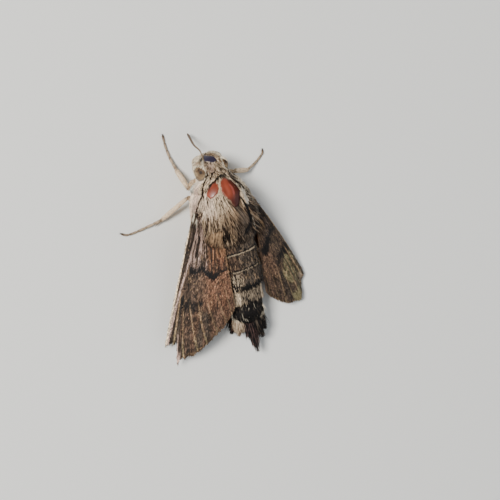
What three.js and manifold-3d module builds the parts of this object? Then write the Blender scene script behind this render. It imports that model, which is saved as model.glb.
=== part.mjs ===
// A hummingbird hawk-moth at rest, life size, in millimetres.
//
// Frame: the floor is z = 0 and the moth's head points along +Y, its right side along +X.
// The origin is the middle of the moth's bounding box, at floor level.
//
// The trunk is one rounded form along a tilted body axis, parted by thin cuts into head, collar,
// thorax, waist and abdomen segments. The wings are ruled fans: straight lines from the root to the
// outer margin. Legs, feelers, palps and tongue are tapered tubes. manifold-3d joins and cuts.
import * as THREE from 'three';
import { mergeVertices } from 'three/addons/utils/BufferGeometryUtils.js';
import Module from 'manifold-3d';

const wasm = await Module();
wasm.setup();

// ---------------------------------------------------------------- driving dimensions
const GAP = 0.06; // clearance between neighbouring pieces
const WING_THICKNESS = 0.5;
const HINDWING_DROP = 0.85; // from the forewing's mid-surface to the hindwing's
const BODY_CENTRE = new THREE.Vector3(0, 0, 5.6); // middle of the thorax
const BODY_PITCH = THREE.MathUtils.degToRad(6); // head up
const BODY_ROLL = THREE.MathUtils.degToRad(12); // back turned to the left
const AROUND = 20; // faces round the trunk
const HEAD_TIP = 6.9;
const HEAD_DOME = 5.0; // the face closes as a dome from here to the tip
const HEAD_TURN = THREE.MathUtils.degToRad(5); // looks to the left, about the neck
const HEAD_ROLL = THREE.MathUtils.degToRad(14); // left eye up
const NECK = 3.65;
const TAIL_TIP = -17.4;
const TAIL_DOME = -15.6;

// Trunk sections: b is forward along the body axis, w the half width, up and down the half heights,
// mid the height of the widest line.
const TRUNK = [
  { b: -17.4, w: 2.05, up: 1.5, down: 1.5, mid: -0.5 },
  { b: -15.6, w: 2.3, up: 1.8, down: 1.7, mid: -0.5 },
  { b: -13.7, w: 2.72, up: 2.3, down: 2.1, mid: -0.4 },
  { b: -11.0, w: 3.12, up: 2.7, down: 2.4, mid: -0.3 },
  { b: -8.0, w: 3.35, up: 2.95, down: 2.6, mid: -0.2 },
  { b: -5.5, w: 3.5, up: 3.2, down: 2.9, mid: -0.1 },
  { b: -3.5, w: 3.95, up: 3.65, down: 3.4, mid: 0 },
  { b: -1.0, w: 4.25, up: 3.95, down: 3.65, mid: 0 },
  { b: 1.0, w: 4.05, up: 3.75, down: 3.5, mid: 0 },
  { b: 2.7, w: 3.3, up: 3.1, down: 2.9, mid: 0 },
  { b: 3.7, w: 2.55, up: 2.35, down: 2.3, mid: -0.1 },
  { b: 4.9, w: 2.35, up: 2.1, down: 2.2, mid: -0.2 },
  { b: 6.9, w: 2.15, up: 1.9, down: 2.0, mid: -0.3 },
];

// Where the trunk is parted, from the face back. Each piece is [name, front, back, flare], and flare
// is how far a segment's hind edge stands over the next one.
const TRUNK_PIECES = [
  ['head', HEAD_TIP, NECK, 0],
  ['collar', NECK, 2.35, 0.12],
  ['thorax', 2.35, -3.6, 0],
  ['waist', -3.6, -5.5, 0],
  ['abdomen_1', -5.5, -6.95, 0.06],
  ['abdomen_2', -6.95, -9.5, 0.06],
  ['abdomen_3', -9.5, -11.7, 0.06],
  ['abdomen_4', -11.7, -13.7, 0.06],
  ['abdomen_5', -13.7, -15.6, 0.06],
  ['abdomen_6', -15.6, TAIL_TIP, 0],
];

const EYE = { a: 1.5, b: 4.7, c: 0.27, radii: [0.93, 1.04, 1.0] }; // before the head turns
const TEGULA = { a: 3.35, b: -0.75, c: 2.0, radii: [1.75, 3.0, 1.75], proud: 0.2 };

// ---------------------------------------------------------------- small helpers
const vec = (x, y, z) => new THREE.Vector3(x, y, z);
const lerp = THREE.MathUtils.lerp;
const smooth = (x) => THREE.MathUtils.smoothstep(x, 0, 1);

/** A body-frame point: a to the right, b forward, c up, measured from the thorax's middle. */
const bodyMatrix = new THREE.Matrix4()
  .makeTranslation(BODY_CENTRE.x, BODY_CENTRE.y, BODY_CENTRE.z)
  .multiply(new THREE.Matrix4().makeRotationX(BODY_PITCH))
  .multiply(new THREE.Matrix4().makeRotationY(-BODY_ROLL));
const bodyPoint = (a, b, c) => vec(a, b, c).applyMatrix4(bodyMatrix);

/** A geometry from a flat list of positions and a list of triangles. */
function geometryFrom(positions, triangles) {
  const g = new THREE.BufferGeometry();
  g.setAttribute('position', new THREE.Float32BufferAttribute(positions, 3));
  g.setIndex(triangles);
  return g;
}

/** A three.js geometry as a manifold solid. */
function solid(geometry) {
  const bare = new THREE.BufferGeometry();
  bare.setAttribute('position', geometry.getAttribute('position'));
  if (geometry.index) bare.setIndex(geometry.index);
  const g = mergeVertices(bare, 1e-5);
  return new wasm.Manifold(new wasm.Mesh({
    numProp: 3,
    vertProperties: new Float32Array(g.attributes.position.array),
    triVerts: new Uint32Array(g.index.array),
  }));
}

/** A manifold solid's largest body as a three.js geometry. */
function geometryOf(whole) {
  const parts = whole.decompose().sort((p, q) => q.volume() - p.volume());
  const mesh = parts[0].getMesh();
  const positions = [];
  for (let i = 0; i < mesh.numVert; i++) {
    positions.push(...mesh.vertProperties.subarray(i * mesh.numProp, i * mesh.numProp + 3));
  }
  return geometryFrom(positions, Array.from(mesh.triVerts));
}

const union = (solids) => solids.reduce((sum, s) => sum.add(s));

/** Joins rings of points into a closed skin, with a point at the middle of each end. */
function loft(rings) {
  const n = rings[0].length;
  const positions = rings.flat().flatMap((p) => p.toArray());
  const middle = (ring) => ring.reduce((s, p) => s.add(p), vec(0, 0, 0)).divideScalar(n);
  positions.push(...middle(rings[0]).toArray(), ...middle(rings.at(-1)).toArray());
  const first = rings.length * n;
  const last = first + 1;
  const triangles = [];
  for (let i = 0; i < n; i++) {
    const j = (i + 1) % n;
    for (let k = 0; k + 1 < rings.length; k++) {
      const row = k * n;
      const next = row + n;
      triangles.push(row + i, next + i, row + j, row + j, next + i, next + j);
    }
    const end = (rings.length - 1) * n;
    triangles.push(first, i, j, last, end + j, end + i);
  }
  return geometryFrom(positions, triangles);
}

/** A tapered tube along points, round or flattened, with a ring at each point. */
function tube(points, radii, sides, flatten = 1, up = vec(0, 0, 1)) {
  const rings = points.map((p, k) => {
    const ahead = points[Math.min(k + 1, points.length - 1)];
    const behind = points[Math.max(k - 1, 0)];
    const along = ahead.clone().sub(behind).normalize();
    const side = along.clone().cross(up).normalize();
    const top = side.clone().cross(along);
    return Array.from({ length: sides }, (_, i) => {
      const t = (i / sides) * 2 * Math.PI;
      return p.clone()
        .addScaledVector(side, radii[k] * Math.cos(t))
        .addScaledVector(top, radii[k] * flatten * Math.sin(t));
    });
  });
  return loft(rings);
}

/** A limb piece with round ends, fuller in the middle by swell, and grown all round by grow. */
function limb(from, to, startRadius, endRadius, swell = 0, grow = 0) {
  const shape = [[0, 0.5], [0.07, 0.95], [0.5, 1], [0.93, 0.95], [1, 0.5]];
  const along = to.clone().sub(from).normalize();
  const points = shape.map(([t]) => from.clone().lerp(to, t));
  points[0].addScaledVector(along, -grow);
  points.at(-1).addScaledVector(along, grow);
  const radii = shape.map(([t, full]) => full * (lerp(startRadius, endRadius, t) + swell * Math.sin(Math.PI * t)) + grow);
  return solid(tube(points, radii, 6));
}

// ---------------------------------------------------------------- trunk
/** The trunk's section at b, by a cubic through the named sections. */
function trunkSection(b) {
  const last = TRUNK.length - 1;
  const k = Math.min(Math.max(TRUNK.findIndex((s) => s.b > b) - 1, 0), last - 1);
  const at = TRUNK[last].b <= b ? last - 1 : k;
  const [p, q] = [TRUNK[at], TRUNK[at + 1]];
  const t = (b - p.b) / (q.b - p.b);
  const value = (key) => {
    const slope = (i) => {
      const lo = TRUNK[Math.max(i - 1, 0)];
      const hi = TRUNK[Math.min(i + 1, last)];
      return (hi[key] - lo[key]) / (hi.b - lo.b);
    };
    const span = q.b - p.b;
    const h = [2 * t ** 3 - 3 * t ** 2 + 1, t ** 3 - 2 * t ** 2 + t, 3 * t ** 2 - 2 * t ** 3, t ** 3 - t ** 2];
    return h[0] * p[key] + h[1] * span * slope(at) + h[2] * q[key] + h[3] * span * slope(at + 1);
  };
  const dome = (from, to, square) => Math.max(1 - ((b - from) / (to - from)) ** square, 0) ** (1 / square);
  const close = b > HEAD_DOME ? dome(HEAD_DOME, HEAD_TIP, 2.3) : b < TAIL_DOME ? dome(TAIL_DOME, TAIL_TIP, 2) : 1;
  return { w: value('w') * close, up: value('up') * close, down: value('down') * close, mid: value('mid') };
}

/** A ring of the trunk at b, grown outwards. */
function trunkRing(b, grow) {
  const s = trunkSection(b);
  return Array.from({ length: AROUND }, (_, i) => {
    const t = -(i / AROUND) * 2 * Math.PI;
    const height = Math.sin(t) > 0 ? s.up : s.down;
    return vec((s.w + grow) * Math.cos(t), b, s.mid + (height + grow) * Math.sin(t));
  });
}

/** The trunk from front to back, growing by flare towards the back. */
function trunkSolid(front, back, grow = 0, flare = 0) {
  const nose = front >= HEAD_TIP - GAP;
  const tail = back <= TAIL_TIP + GAP;
  const count = Math.max(2, Math.round((front - back) / 0.95));
  const rings = [];
  for (let i = 0; i <= count; i++) {
    const t = i / count;
    const eased = nose ? 1 - Math.cos((t * Math.PI) / 2) : tail ? Math.sin((t * Math.PI) / 2) : t;
    const b = lerp(front, back, eased);
    const inside = Math.min(Math.max(b, TAIL_TIP + 0.02), HEAD_TIP - 0.02);
    rings.push(trunkRing(inside, grow + flare * t).map((p) => p.setY(b)));
  }
  return solid(loft(rings));
}

/** An ellipsoid in the body frame, on one side (-1 left, 1 right). */
function sideEllipsoid({ a, b, c, radii }, side, grow = 0) {
  const g = new THREE.SphereGeometry(1, 14, 9).rotateX(Math.PI / 2);
  g.scale(...radii.map((r) => r + grow));
  g.translate(side * a, b, c);
  return solid(g);
}

/** A palp: a fat scaly lobe curving up in front of the face. */
function palp(side, grow = 0) {
  const points = [vec(0.7, 4.6, -2.05), vec(0.82, 5.2, -1.95), vec(0.92, 5.8, -1.45), vec(0.95, 6.1, -0.8), vec(0.9, 6.2, -0.1)]
    .map((p) => p.setX(p.x * side));
  const radii = [0.3, 0.62, 0.78, 0.68, 0.3].map((r) => r + grow);
  return solid(tube(points, radii, 8, 1, vec(1, 0, 0)));
}

/** The tongue, rolled up in a spiral between the palps. */
function tongue(grow = 0) {
  const turns = 2.4;
  const steps = 26;
  const points = [];
  const radii = [];
  for (let i = 0; i <= steps; i++) {
    const t = i / steps;
    const angle = 2 * Math.PI * turns * t;
    const reach = lerp(1.02, 0.2, t);
    points.push(vec(0, 5.3 + reach * Math.sin(angle), -2.85 + reach * Math.cos(angle)));
    radii.push(lerp(0.15, 0.09, t) + grow);
  }
  return solid(tube(points, radii, 5, 1, vec(1, 0, 0)));
}

/** The slot between the palps that the tongue lies in. */
function mouthPocket() {
  return solid(new THREE.CylinderGeometry(1.24, 1.24, 0.5, 14).rotateZ(Math.PI / 2).translate(0, 5.3, -2.85));
}

// ---------------------------------------------------------------- feelers
/** A feeler as a club: slim at the root, thicker before the hooked tip. Points are in the model frame. */
function feeler(points, grow = 0) {
  const curve = new THREE.CatmullRomCurve3(points);
  const steps = 10;
  const along = Array.from({ length: steps + 1 }, (_, i) => curve.getPointAt(i / steps));
  const radii = along.map((_, i) => {
    const t = i / steps;
    return (t < 1 ? 0.25 + 0.08 * Math.sin(Math.PI * Math.min(t * 1.15, 1)) : 0.1) + grow;
  });
  return solid(tube(along, radii, 7));
}

const FEELERS = {
  left: [bodyPoint(-0.85, 6.2, 0.7), vec(-0.85, 7.3, 6.2), vec(-0.9, 8.05, 5.0), vec(-0.68, 8.5, 3.9), vec(-0.27, 9.12, 2.4), vec(0.1, 9.65, 1.0)],
  right: [bodyPoint(0.7, 5.9, 0.5), bodyPoint(1.3, 6.15, -0.5), bodyPoint(1.85, 5.6, -1.5), bodyPoint(2.2, 4.5, -1.95),
    bodyPoint(2.55, 3.4, -2.2), bodyPoint(3.05, 2.4, -2.5), bodyPoint(3.5, 1.3, -2.6)],
};

// ---------------------------------------------------------------- wings
// root: costal and hind ends of the wing root. margin: the outer margin from apex to tornus, as
// [q, x, y, z]. bulge: how far the leading edge bows out; camber: how far the middle arches up.
const WINGS = {
  left: {
    root: [vec(-3.1, 1.9, 6.3), vec(-1.6, -2.6, 8.1)],
    margin: [[0, -13.0, -18.6, 1.1], [0.167, -11.45, -19.9, 2.0], [0.222, -10.85, -19.05, 2.4], [0.4, -8.6, -18.55, 3.3],
      [0.6, -6.3, -17.3, 4.3], [0.83, -3.8, -15.65, 5.3], [1, -2.47, -14.0, 6.1]],
    bulge: vec(-0.2, 0, 0.1),
    camber: 0.55,
    hollow: vec(-0.2, 0, 0),
    worn: (q) => (0.1 + 0.4 * q) * (1 - THREE.MathUtils.smoothstep(q, 0.12, 0.16)), // the torn apex
  },
  right: {
    root: [vec(2.9, 1.7, 7.6), vec(2.5, -2.6, 6.9)],
    margin: [[0, 10.75, -13.2, 1.0], [0.08, 10.92, -14.1, 0.65], [0.222, 10.0, -15.6, 0.85], [0.389, 8.95, -17.5, 1.1],
      [0.444, 8.4, -17.3, 1.3], [0.6, 6.6, -17.0, 1.9], [0.8, 4.7, -15.6, 2.8], [1, 3.3, -13.9, 4.1]],
    bulge: vec(0.33, 0.1, 0.1),
    camber: 0.5,
    hollow: vec(0.35, 0, -0.35),
    worn: () => 0,
  },
};
const WING_CLEARANCE = 0.45; // from the trunk to the forewing's mid-surface, behind the shoulder
const PLEATS = 4.5; // folds across the outer margin
const PLEAT_DEPTH = 0.14;

/** The unit vector out of the wing's upper side. */
function wingNormal(wing) {
  const apex = vec(...wing.margin[0].slice(1));
  const tornus = vec(...wing.margin.at(-1).slice(1));
  const n = apex.clone().sub(wing.root[0]).cross(tornus.clone().sub(wing.root[0])).normalize();
  return n.z < 0 ? n.negate() : n;
}

/** The outer margin at q, by a cubic through its named points. */
function marginPoint(wing, q) {
  const m = wing.margin;
  const at = Math.min(Math.max(m.findIndex((p) => p[0] > q) - 1, 0) + (q >= 1 ? m.length : 0), m.length - 2);
  const t = (q - m[at][0]) / (m[at + 1][0] - m[at][0]);
  const value = (key) => {
    const slope = (i) => {
      const lo = m[Math.max(i - 1, 0)];
      const hi = m[Math.min(i + 1, m.length - 1)];
      return (hi[key] - lo[key]) / (hi[0] - lo[0]);
    };
    const span = m[at + 1][0] - m[at][0];
    return (2 * t ** 3 - 3 * t ** 2 + 1) * m[at][key] + (t ** 3 - 2 * t ** 2 + t) * span * slope(at)
      + (3 * t ** 2 - 2 * t ** 3) * m[at + 1][key] + (t ** 3 - t ** 2) * span * slope(at + 1);
  };
  return vec(value(1), value(2), value(3));
}

/** Lifts a point clear of the trunk behind the shoulder; before it the wing may dive into the thorax. */
function drape(p) {
  const q = p.clone().applyMatrix4(bodyMatrix.clone().invert());
  const s = trunkSection(Math.max(q.y, TAIL_DOME));
  const grow = lerp(-1.5, WING_CLEARANCE, smooth((-0.4 - q.y) / 4));
  const height = (q.z > s.mid ? s.up : s.down) + grow;
  const depth = Math.hypot(q.x / (s.w + grow), (q.z - s.mid) / height);
  if (depth >= 1) return p;
  return bodyPoint(q.x / depth, q.y, s.mid + (q.z - s.mid) / depth);
}

/** The forewing's mid-surface: r runs from root to margin, q from leading to hind edge. */
function forewingPoint(wing, r, q) {
  const reach = r * (1 - wing.worn(q));
  const p = wing.root[0].clone().lerp(wing.root[1], q).lerp(marginPoint(wing, q), reach);
  const arch = Math.sin(Math.PI * Math.min(Math.max(reach, 0), 1));
  const pleat = PLEAT_DEPTH * smooth((reach - 0.35) / 0.5) * Math.sin(2 * Math.PI * PLEATS * (q - 0.04)) * smooth(q / 0.1);
  p.addScaledVector(wing.bulge, arch * (1 - q) ** 3)
    .addScaledVector(wing.hollow, arch * q ** 3)
    .addScaledVector(wingNormal(wing), wing.camber * Math.sin(Math.PI * q) * Math.sqrt(reach) + pleat);
  return drape(p);
}

/** The hindwing's mid-surface: tucked under the forewing, shorter and rounder. */
function hindwingPoint(wing, r, q) {
  const span = 0.1 + r * (0.54 - 0.2 * (2 * q - 0.9) ** 2);
  const across = lerp(0.16, 0.68, q);
  return forewingPoint(wing, span, across).addScaledVector(wingNormal(wing), -HINDWING_DROP);
}

/** A plate of even thickness about a surface of r and q. */
function plate(surface, normal, rows, columns, thickness) {
  const grid = (offset) => Array.from({ length: rows + 1 }, (_, i) =>
    Array.from({ length: columns + 1 }, (_, j) =>
      surface(i / rows, j / columns).addScaledVector(normal, offset)));
  const top = grid(thickness / 2);
  const under = grid(-thickness / 2);
  // Each row of the plate is one closed ring: over the top, then back along the underside.
  const rings = top.map((row, i) => [...row, ...under[i].toReversed()]);
  const n = rings[0].length;
  const half = columns + 1;
  const triangles = [];
  const flip = surface(1, 0).sub(surface(0, 0)).cross(surface(0.5, 1).sub(surface(0.5, 0))).dot(normal) < 0;
  const add = (p, q, r) => triangles.push(...(flip ? [p, r, q] : [p, q, r]));
  for (let i = 0; i < rows; i++) {
    for (let j = 0; j < n; j++) {
      const [a, b] = [i * n + j, i * n + ((j + 1) % n)];
      add(a, a + n, b);
      add(b, a + n, b + n);
    }
  }
  for (let j = 0; j + 1 < half; j++) {
    const mirror = n - 1 - j;
    const end = rows * n;
    add(j, j + 1, mirror);
    add(j + 1, mirror - 1, mirror);
    add(end + j, end + mirror, end + j + 1);
    add(end + j + 1, end + mirror, end + mirror - 1);
  }
  return solid(geometryFrom(rings.flat().flatMap((p) => p.toArray()), triangles));
}

// ---------------------------------------------------------------- legs
// Joints of each leg in the model frame: hip (inside the thorax), trochanter, knee, ankle, then the
// foot's bends down to the claws on the floor. spurs: where the shin's spurs end.
const LEGS = {
  fore_left: {
    hip: bodyPoint(-1.2, 2.1, -2.2), trochanter: vec(-0.9, 3.3, 1.35), knee: vec(-2.8, 2.72, 3.0), ankle: vec(-3.05, 5.45, 1.25),
    foot: [vec(-3.16, 7.2, 0.5), vec(-3.18, 8.8, 0.2), vec(-3.1, 10.4, 0.2)], shin: 0.36, spurs: [],
  },
  fore_right: {
    hip: bodyPoint(1.2, 2.1, -2.2), trochanter: vec(1.5, 3.2, 1.45), knee: vec(4.25, 3.0, 2.95), ankle: vec(6.95, 2.35, 1.4),
    foot: [vec(8.4, 2.7, 0.6), vec(9.45, 3.1, 0.2), vec(10.35, 3.75, 0.2), vec(10.5, 4.2, 0.2)], shin: 0.36, spurs: [],
  },
  mid_left: {
    hip: bodyPoint(-1.5, 0.0, -2.6), trochanter: vec(-1.35, 0.35, 1.2), knee: vec(-3.2, 1.6, 3.0), ankle: vec(-7.1, -0.36, 1.0),
    foot: [vec(-9.2, -0.68, 0.45), vec(-11.2, -0.88, 0.2), vec(-12.2, -0.8, 0.2), vec(-12.8, -0.42, 0.2)], shin: 0.33,
    spurs: [vec(-7.95, -0.95, 0.55), vec(-7.85, -0.45, 0.4)],
  },
  mid_right: {
    hip: bodyPoint(1.5, 0.0, -2.6), trochanter: vec(1.7, 0.2, 1.4), knee: vec(4.3, -1.0, 3.1), ankle: vec(6.5, -4.5, 0.95),
    foot: [vec(7.1, -6.4, 0.45), vec(7.5, -8.2, 0.2), vec(7.7, -9.6, 0.2)], shin: 0.33,
    spurs: [vec(6.5, -5.5, 0.5), vec(7.0, -5.3, 0.4)],
  },
  hind_left: {
    hip: bodyPoint(-1.4, -2.2, -2.6), trochanter: vec(-0.9, -2.6, 1.25), knee: vec(-3.0, -1.4, 2.5), ankle: vec(-3.2, -3.3, 0.95),
    foot: [vec(-3.4, -5.2, 0.4), vec(-3.7, -6.9, 0.2), vec(-3.9, -8.5, 0.2)], shin: 0.33,
    spurs: [vec(-4.6, -4.6, 0.35), vec(-3.8, -4.5, 0.3)],
  },
  hind_right: {
    hip: bodyPoint(1.4, -2.2, -2.6), trochanter: vec(1.5, -2.7, 1.5), knee: vec(3.9, -5.0, 2.7), ankle: vec(5.1, -9.0, 0.95),
    foot: [vec(5.5, -10.9, 0.45), vec(5.8, -12.7, 0.2), vec(5.9, -14.1, 0.2)], shin: 0.33,
    spurs: [vec(5.0, -10.1, 0.5), vec(5.55, -9.95, 0.4)],
  },
};
const FOOT_RADIUS = 0.25;
const FLOOR = solid(new THREE.BoxGeometry(60, 60, 10).translate(0, 0, -5));

/** The shin with its spurs. */
function shin(leg, grow = 0) {
  const bare = limb(leg.knee, leg.ankle, leg.shin * 0.85, leg.shin, 0.06, grow);
  const spurs = leg.spurs.map((tip) => {
    const root = leg.knee.clone().lerp(leg.ankle, 0.9);
    return solid(tube([root, root.clone().lerp(tip, 0.5), tip], [0.16 + grow, 0.15 + grow, 0.07 + grow], 4));
  });
  return union([bare, ...spurs]);
}

/** The foot: five joints, each a little fuller at its far end, flat where it meets the floor. */
function foot(leg, grow = 0) {
  const curve = new THREE.CatmullRomCurve3([leg.ankle, ...leg.foot]);
  const joints = 5;
  const points = [];
  const radii = [];
  for (let i = 0; i < joints; i++) {
    for (const [t, full] of [[0.06, 0.82], [0.86, 1]]) {
      points.push(curve.getPointAt((i + t) / joints));
      radii.push(FOOT_RADIUS * full * lerp(1.08, 0.86, i / joints) + grow);
    }
  }
  return solid(tube(points, radii, 6)).subtract(FLOOR);
}

// ---------------------------------------------------------------- tail fan
// Flat locks of long scales in the body frame: root, tip and widest half width of each.
const LOCKS = [
  { root: [-1.5, -14.8, -0.6], tip: [-2.8, -18.6, -0.9], wide: 0.75 },
  { root: [-1.1, -15.2, -0.2], tip: [-1.95, -19.1, -0.4], wide: 0.95 },
  { root: [-0.1, -15.2, -0.4], tip: [0.12, -22.2, -0.55], wide: 1.25 },
  { root: [0.9, -15.2, -0.3], tip: [1.25, -20.3, -0.6], wide: 1.05 },
  { root: [1.6, -14.6, -0.5], tip: [2.2, -18.2, -0.8], wide: 0.65 },
  { root: [-0.1, -15.2, -1.0], tip: [-0.2, -20.0, -1.3], wide: 1.4 },
];

/** The fan of long scales past the abdomen's end, as one solid. */
function tailFan() {
  const locks = LOCKS.map(({ root, tip, wide }) => {
    const [from, to] = [vec(...root), vec(...tip)];
    const steps = [[0, 0.45], [0.4, 1], [0.72, 0.75], [0.93, 0.28], [1, 0.08]];
    const points = steps.map(([t]) => from.clone().lerp(to, t));
    return solid(tube(points, steps.map(([, full]) => full * wide), 6, 0.42));
  });
  return union(locks);
}

// ---------------------------------------------------------------- assembly
const materials = {
  fur: new THREE.MeshStandardMaterial({ color: 0xb7a692, roughness: 0.95 }),
  abdomen: new THREE.MeshStandardMaterial({ color: 0x6f6459, roughness: 0.9 }),
  tail: new THREE.MeshStandardMaterial({ color: 0x1c1817, roughness: 0.9 }),
  wing: new THREE.MeshStandardMaterial({ color: 0x6e5240, roughness: 0.85 }),
  hindwing: new THREE.MeshStandardMaterial({ color: 0xc27a33, roughness: 0.85 }),
  leg: new THREE.MeshStandardMaterial({ color: 0xd9c3a6, roughness: 0.8 }),
  feeler: new THREE.MeshStandardMaterial({ color: 0x4a3a2e, roughness: 0.7 }),
  tongue: new THREE.MeshStandardMaterial({ color: 0x3b2416, roughness: 0.45 }),
  eye: new THREE.MeshStandardMaterial({ color: 0x6b4a30, roughness: 0.3 }),
};

const moth = new THREE.Group();
const stance = new THREE.Group(); // moves the finished moth so that the origin is under its middle
const trunkGroup = new THREE.Group(); // the body frame
trunkGroup.position.copy(BODY_CENTRE);
trunkGroup.rotation.set(BODY_PITCH, -BODY_ROLL, 0, 'XYZ');
stance.add(trunkGroup);
moth.add(stance);

/** Adds one named piece to a group. */
function add(parent, name, shape, material) {
  const geometry = geometryOf(shape);
  geometry.computeVertexNormals();
  const mesh = new THREE.Mesh(geometry, material);
  mesh.name = name;
  parent.add(mesh);
}

const inModel = (shape) => shape.transform(bodyMatrix.elements);
const inBody = (shape) => shape.transform(bodyMatrix.clone().invert().elements);
const headMatrix = new THREE.Matrix4().makeTranslation(0, NECK, 0)
  .multiply(new THREE.Matrix4().makeRotationZ(HEAD_TURN))
  .multiply(new THREE.Matrix4().makeRotationY(HEAD_ROLL))
  .multiply(new THREE.Matrix4().makeTranslation(0, -NECK, 0));
const turned = (shape) => shape.transform(headMatrix.elements);
const sides = { left: -1, right: 1 };
const trunkCutter = trunkSolid(HEAD_TIP, TAIL_TIP, GAP, 0);

// Trunk pieces, each shortened by half the gap at its cuts.
const eyes = (grow) => union([turned(sideEllipsoid(EYE, -1, grow)), turned(sideEllipsoid(EYE, 1, grow))]);
const palps = (grow) => union([turned(palp(-1, grow)), turned(palp(1, grow))]);
const feelers = (grow) => union([inBody(feeler(FEELERS.left, grow)), inBody(feeler(FEELERS.right, grow))]);
const faceCutter = union([eyes(GAP), palps(GAP), turned(mouthPocket()), feelers(GAP)]);
const shoulders = union([sideEllipsoid(TEGULA, -1), sideEllipsoid(TEGULA, 1)]);
const behindNeck = solid(new THREE.BoxGeometry(20, 20, 20).translate(0, NECK + GAP / 2 - 10, 0));
for (const [name, front, back, flare] of TRUNK_PIECES) {
  let piece;
  if (name === 'head') {
    piece = turned(trunkSolid(front, back - 0.6)).subtract(behindNeck).subtract(faceCutter);
  } else {
    const end = back === TAIL_TIP ? back : back + GAP / 2;
    piece = trunkSolid(front - GAP / 2, end, 0, flare);
    if (name === 'collar') piece = piece.subtract(faceCutter);
    if (name === 'thorax' || name === 'collar') piece = piece.subtract(shoulders);
    if (name === 'thorax') piece = piece.subtract(feelers(GAP));
  }
  add(trunkGroup, name, piece, name.startsWith('abdomen') ? materials.abdomen : materials.fur);
}
const lastSegments = trunkSolid(-13.5, TAIL_TIP, GAP, 0.06);
add(trunkGroup, 'tail_fan', tailFan().subtract(lastSegments), materials.tail);

for (const [side, sign] of Object.entries(sides)) {
  const shoulder = trunkSolid(2.4, -3.9, TEGULA.proud, 0);
  const tegula = sideEllipsoid(TEGULA, sign, -GAP).intersect(shoulder);
  add(trunkGroup, `tegula_${side}`, tegula, materials.fur);
  add(trunkGroup, `eye_${side}`, turned(sideEllipsoid(EYE, sign)), materials.eye);
  add(trunkGroup, `palp_${side}`, turned(palp(sign)).subtract(eyes(GAP)).subtract(feelers(GAP)), materials.fur);
}
add(trunkGroup, 'tongue', turned(tongue()).subtract(palps(GAP)), materials.tongue);

for (const side of Object.keys(sides)) {
  add(stance, `antenna_${side}`, feeler(FEELERS[side]), materials.feeler);
}

// Wings, cut where they meet the trunk and the shoulder flaps.
const trunkInModel = inModel(trunkCutter.add(trunkSolid(3.6, -5.6, GAP + 0.02, 0)));
for (const [side, sign] of Object.entries(sides)) {
  const wing = WINGS[side];
  const n = wingNormal(wing);
  const shoulder = inModel(sideEllipsoid(TEGULA, sign, 0).intersect(trunkSolid(2.6, -4.1, TEGULA.proud + GAP, 0)));
  const cutter = trunkInModel.add(shoulder);
  const fore = plate((r, q) => forewingPoint(wing, r, q), n, 8, 18, WING_THICKNESS);
  const hind = plate((r, q) => hindwingPoint(wing, r, q), n, 6, 10, WING_THICKNESS);
  add(stance, `forewing_${side}`, fore.subtract(cutter), materials.wing);
  add(stance, `hindwing_${side}`, hind.subtract(cutter), materials.hindwing);
}

// Legs, each cut by the piece that carries it.
for (const [name, leg] of Object.entries(LEGS)) {
  const coxa = (grow) => limb(leg.hip, leg.trochanter, 0.75, 0.42, 0, grow);
  const femur = (grow) => limb(leg.trochanter, leg.knee, 0.34, 0.3, 0.1, grow);
  add(stance, `coxa_${name}`, coxa(0).subtract(trunkInModel), materials.leg);
  add(stance, `femur_${name}`, femur(0).subtract(coxa(GAP)).subtract(trunkInModel), materials.leg);
  add(stance, `tibia_${name}`, shin(leg).subtract(femur(GAP)).subtract(trunkInModel).subtract(FLOOR), materials.leg);
  add(stance, `tarsus_${name}`, foot(leg).subtract(shin(leg, GAP)), materials.leg);
}

// The origin goes to the middle of the moth's box, at floor level.
const box = new THREE.Box3().setFromObject(moth, true);
stance.position.set(-(box.min.x + box.max.x) / 2, -(box.min.y + box.max.y) / 2, 0);

export default moth;
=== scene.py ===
"""A hummingbird hawk-moth at rest, life size: its skins, coats, wings, legs and studio.

Shapes are worked out in millimetres in the moth's own frame: floor at z = 0, head along +Y, right
side along +X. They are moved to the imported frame, in metres, as each mesh is made. The trunk has a
frame of its own as well: a to the right, b forward, c up. A place on the trunk is (b, t), where t
is the angle round it in degrees: 0 on the right side, 90 on the back, 180 left and 270 below.
"""

import logging
import math
from dataclasses import dataclass, field
from enum import Enum

import bpy
import numpy as np
from mathutils import Matrix, Vector


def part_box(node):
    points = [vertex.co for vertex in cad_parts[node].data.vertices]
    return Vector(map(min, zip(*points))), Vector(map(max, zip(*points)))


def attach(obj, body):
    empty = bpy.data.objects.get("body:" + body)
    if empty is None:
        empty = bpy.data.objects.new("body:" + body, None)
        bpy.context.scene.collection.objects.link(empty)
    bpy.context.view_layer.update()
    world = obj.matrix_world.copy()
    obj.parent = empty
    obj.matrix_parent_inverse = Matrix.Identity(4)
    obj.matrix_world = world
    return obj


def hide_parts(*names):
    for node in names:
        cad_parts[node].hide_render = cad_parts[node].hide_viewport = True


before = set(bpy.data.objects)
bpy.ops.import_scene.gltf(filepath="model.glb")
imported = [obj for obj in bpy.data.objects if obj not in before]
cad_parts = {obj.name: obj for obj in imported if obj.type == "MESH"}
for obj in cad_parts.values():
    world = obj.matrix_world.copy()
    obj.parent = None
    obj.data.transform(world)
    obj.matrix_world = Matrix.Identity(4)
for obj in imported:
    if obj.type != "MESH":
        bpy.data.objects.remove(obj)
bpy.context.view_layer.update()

Array = np.ndarray
Rng = np.random.Generator
Socket = bpy.types.NodeSocket
Material = bpy.types.Material
MM = 0.001
log = logging.getLogger("moth")


# ---- sums on arrays
def smooth(x: Array | float) -> Array:
    """An eased step from 0 to 1. Formula: 3x squared less 2x cubed, with x kept in 0 to 1."""
    x = np.clip(x, 0.0, 1.0)
    return x * x * (3.0 - 2.0 * x)


def ramp(x: Array, start: float, run: float) -> Array:
    """0 up to start, easing to 1 over the run after it."""
    return smooth((x - start) / run)


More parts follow.
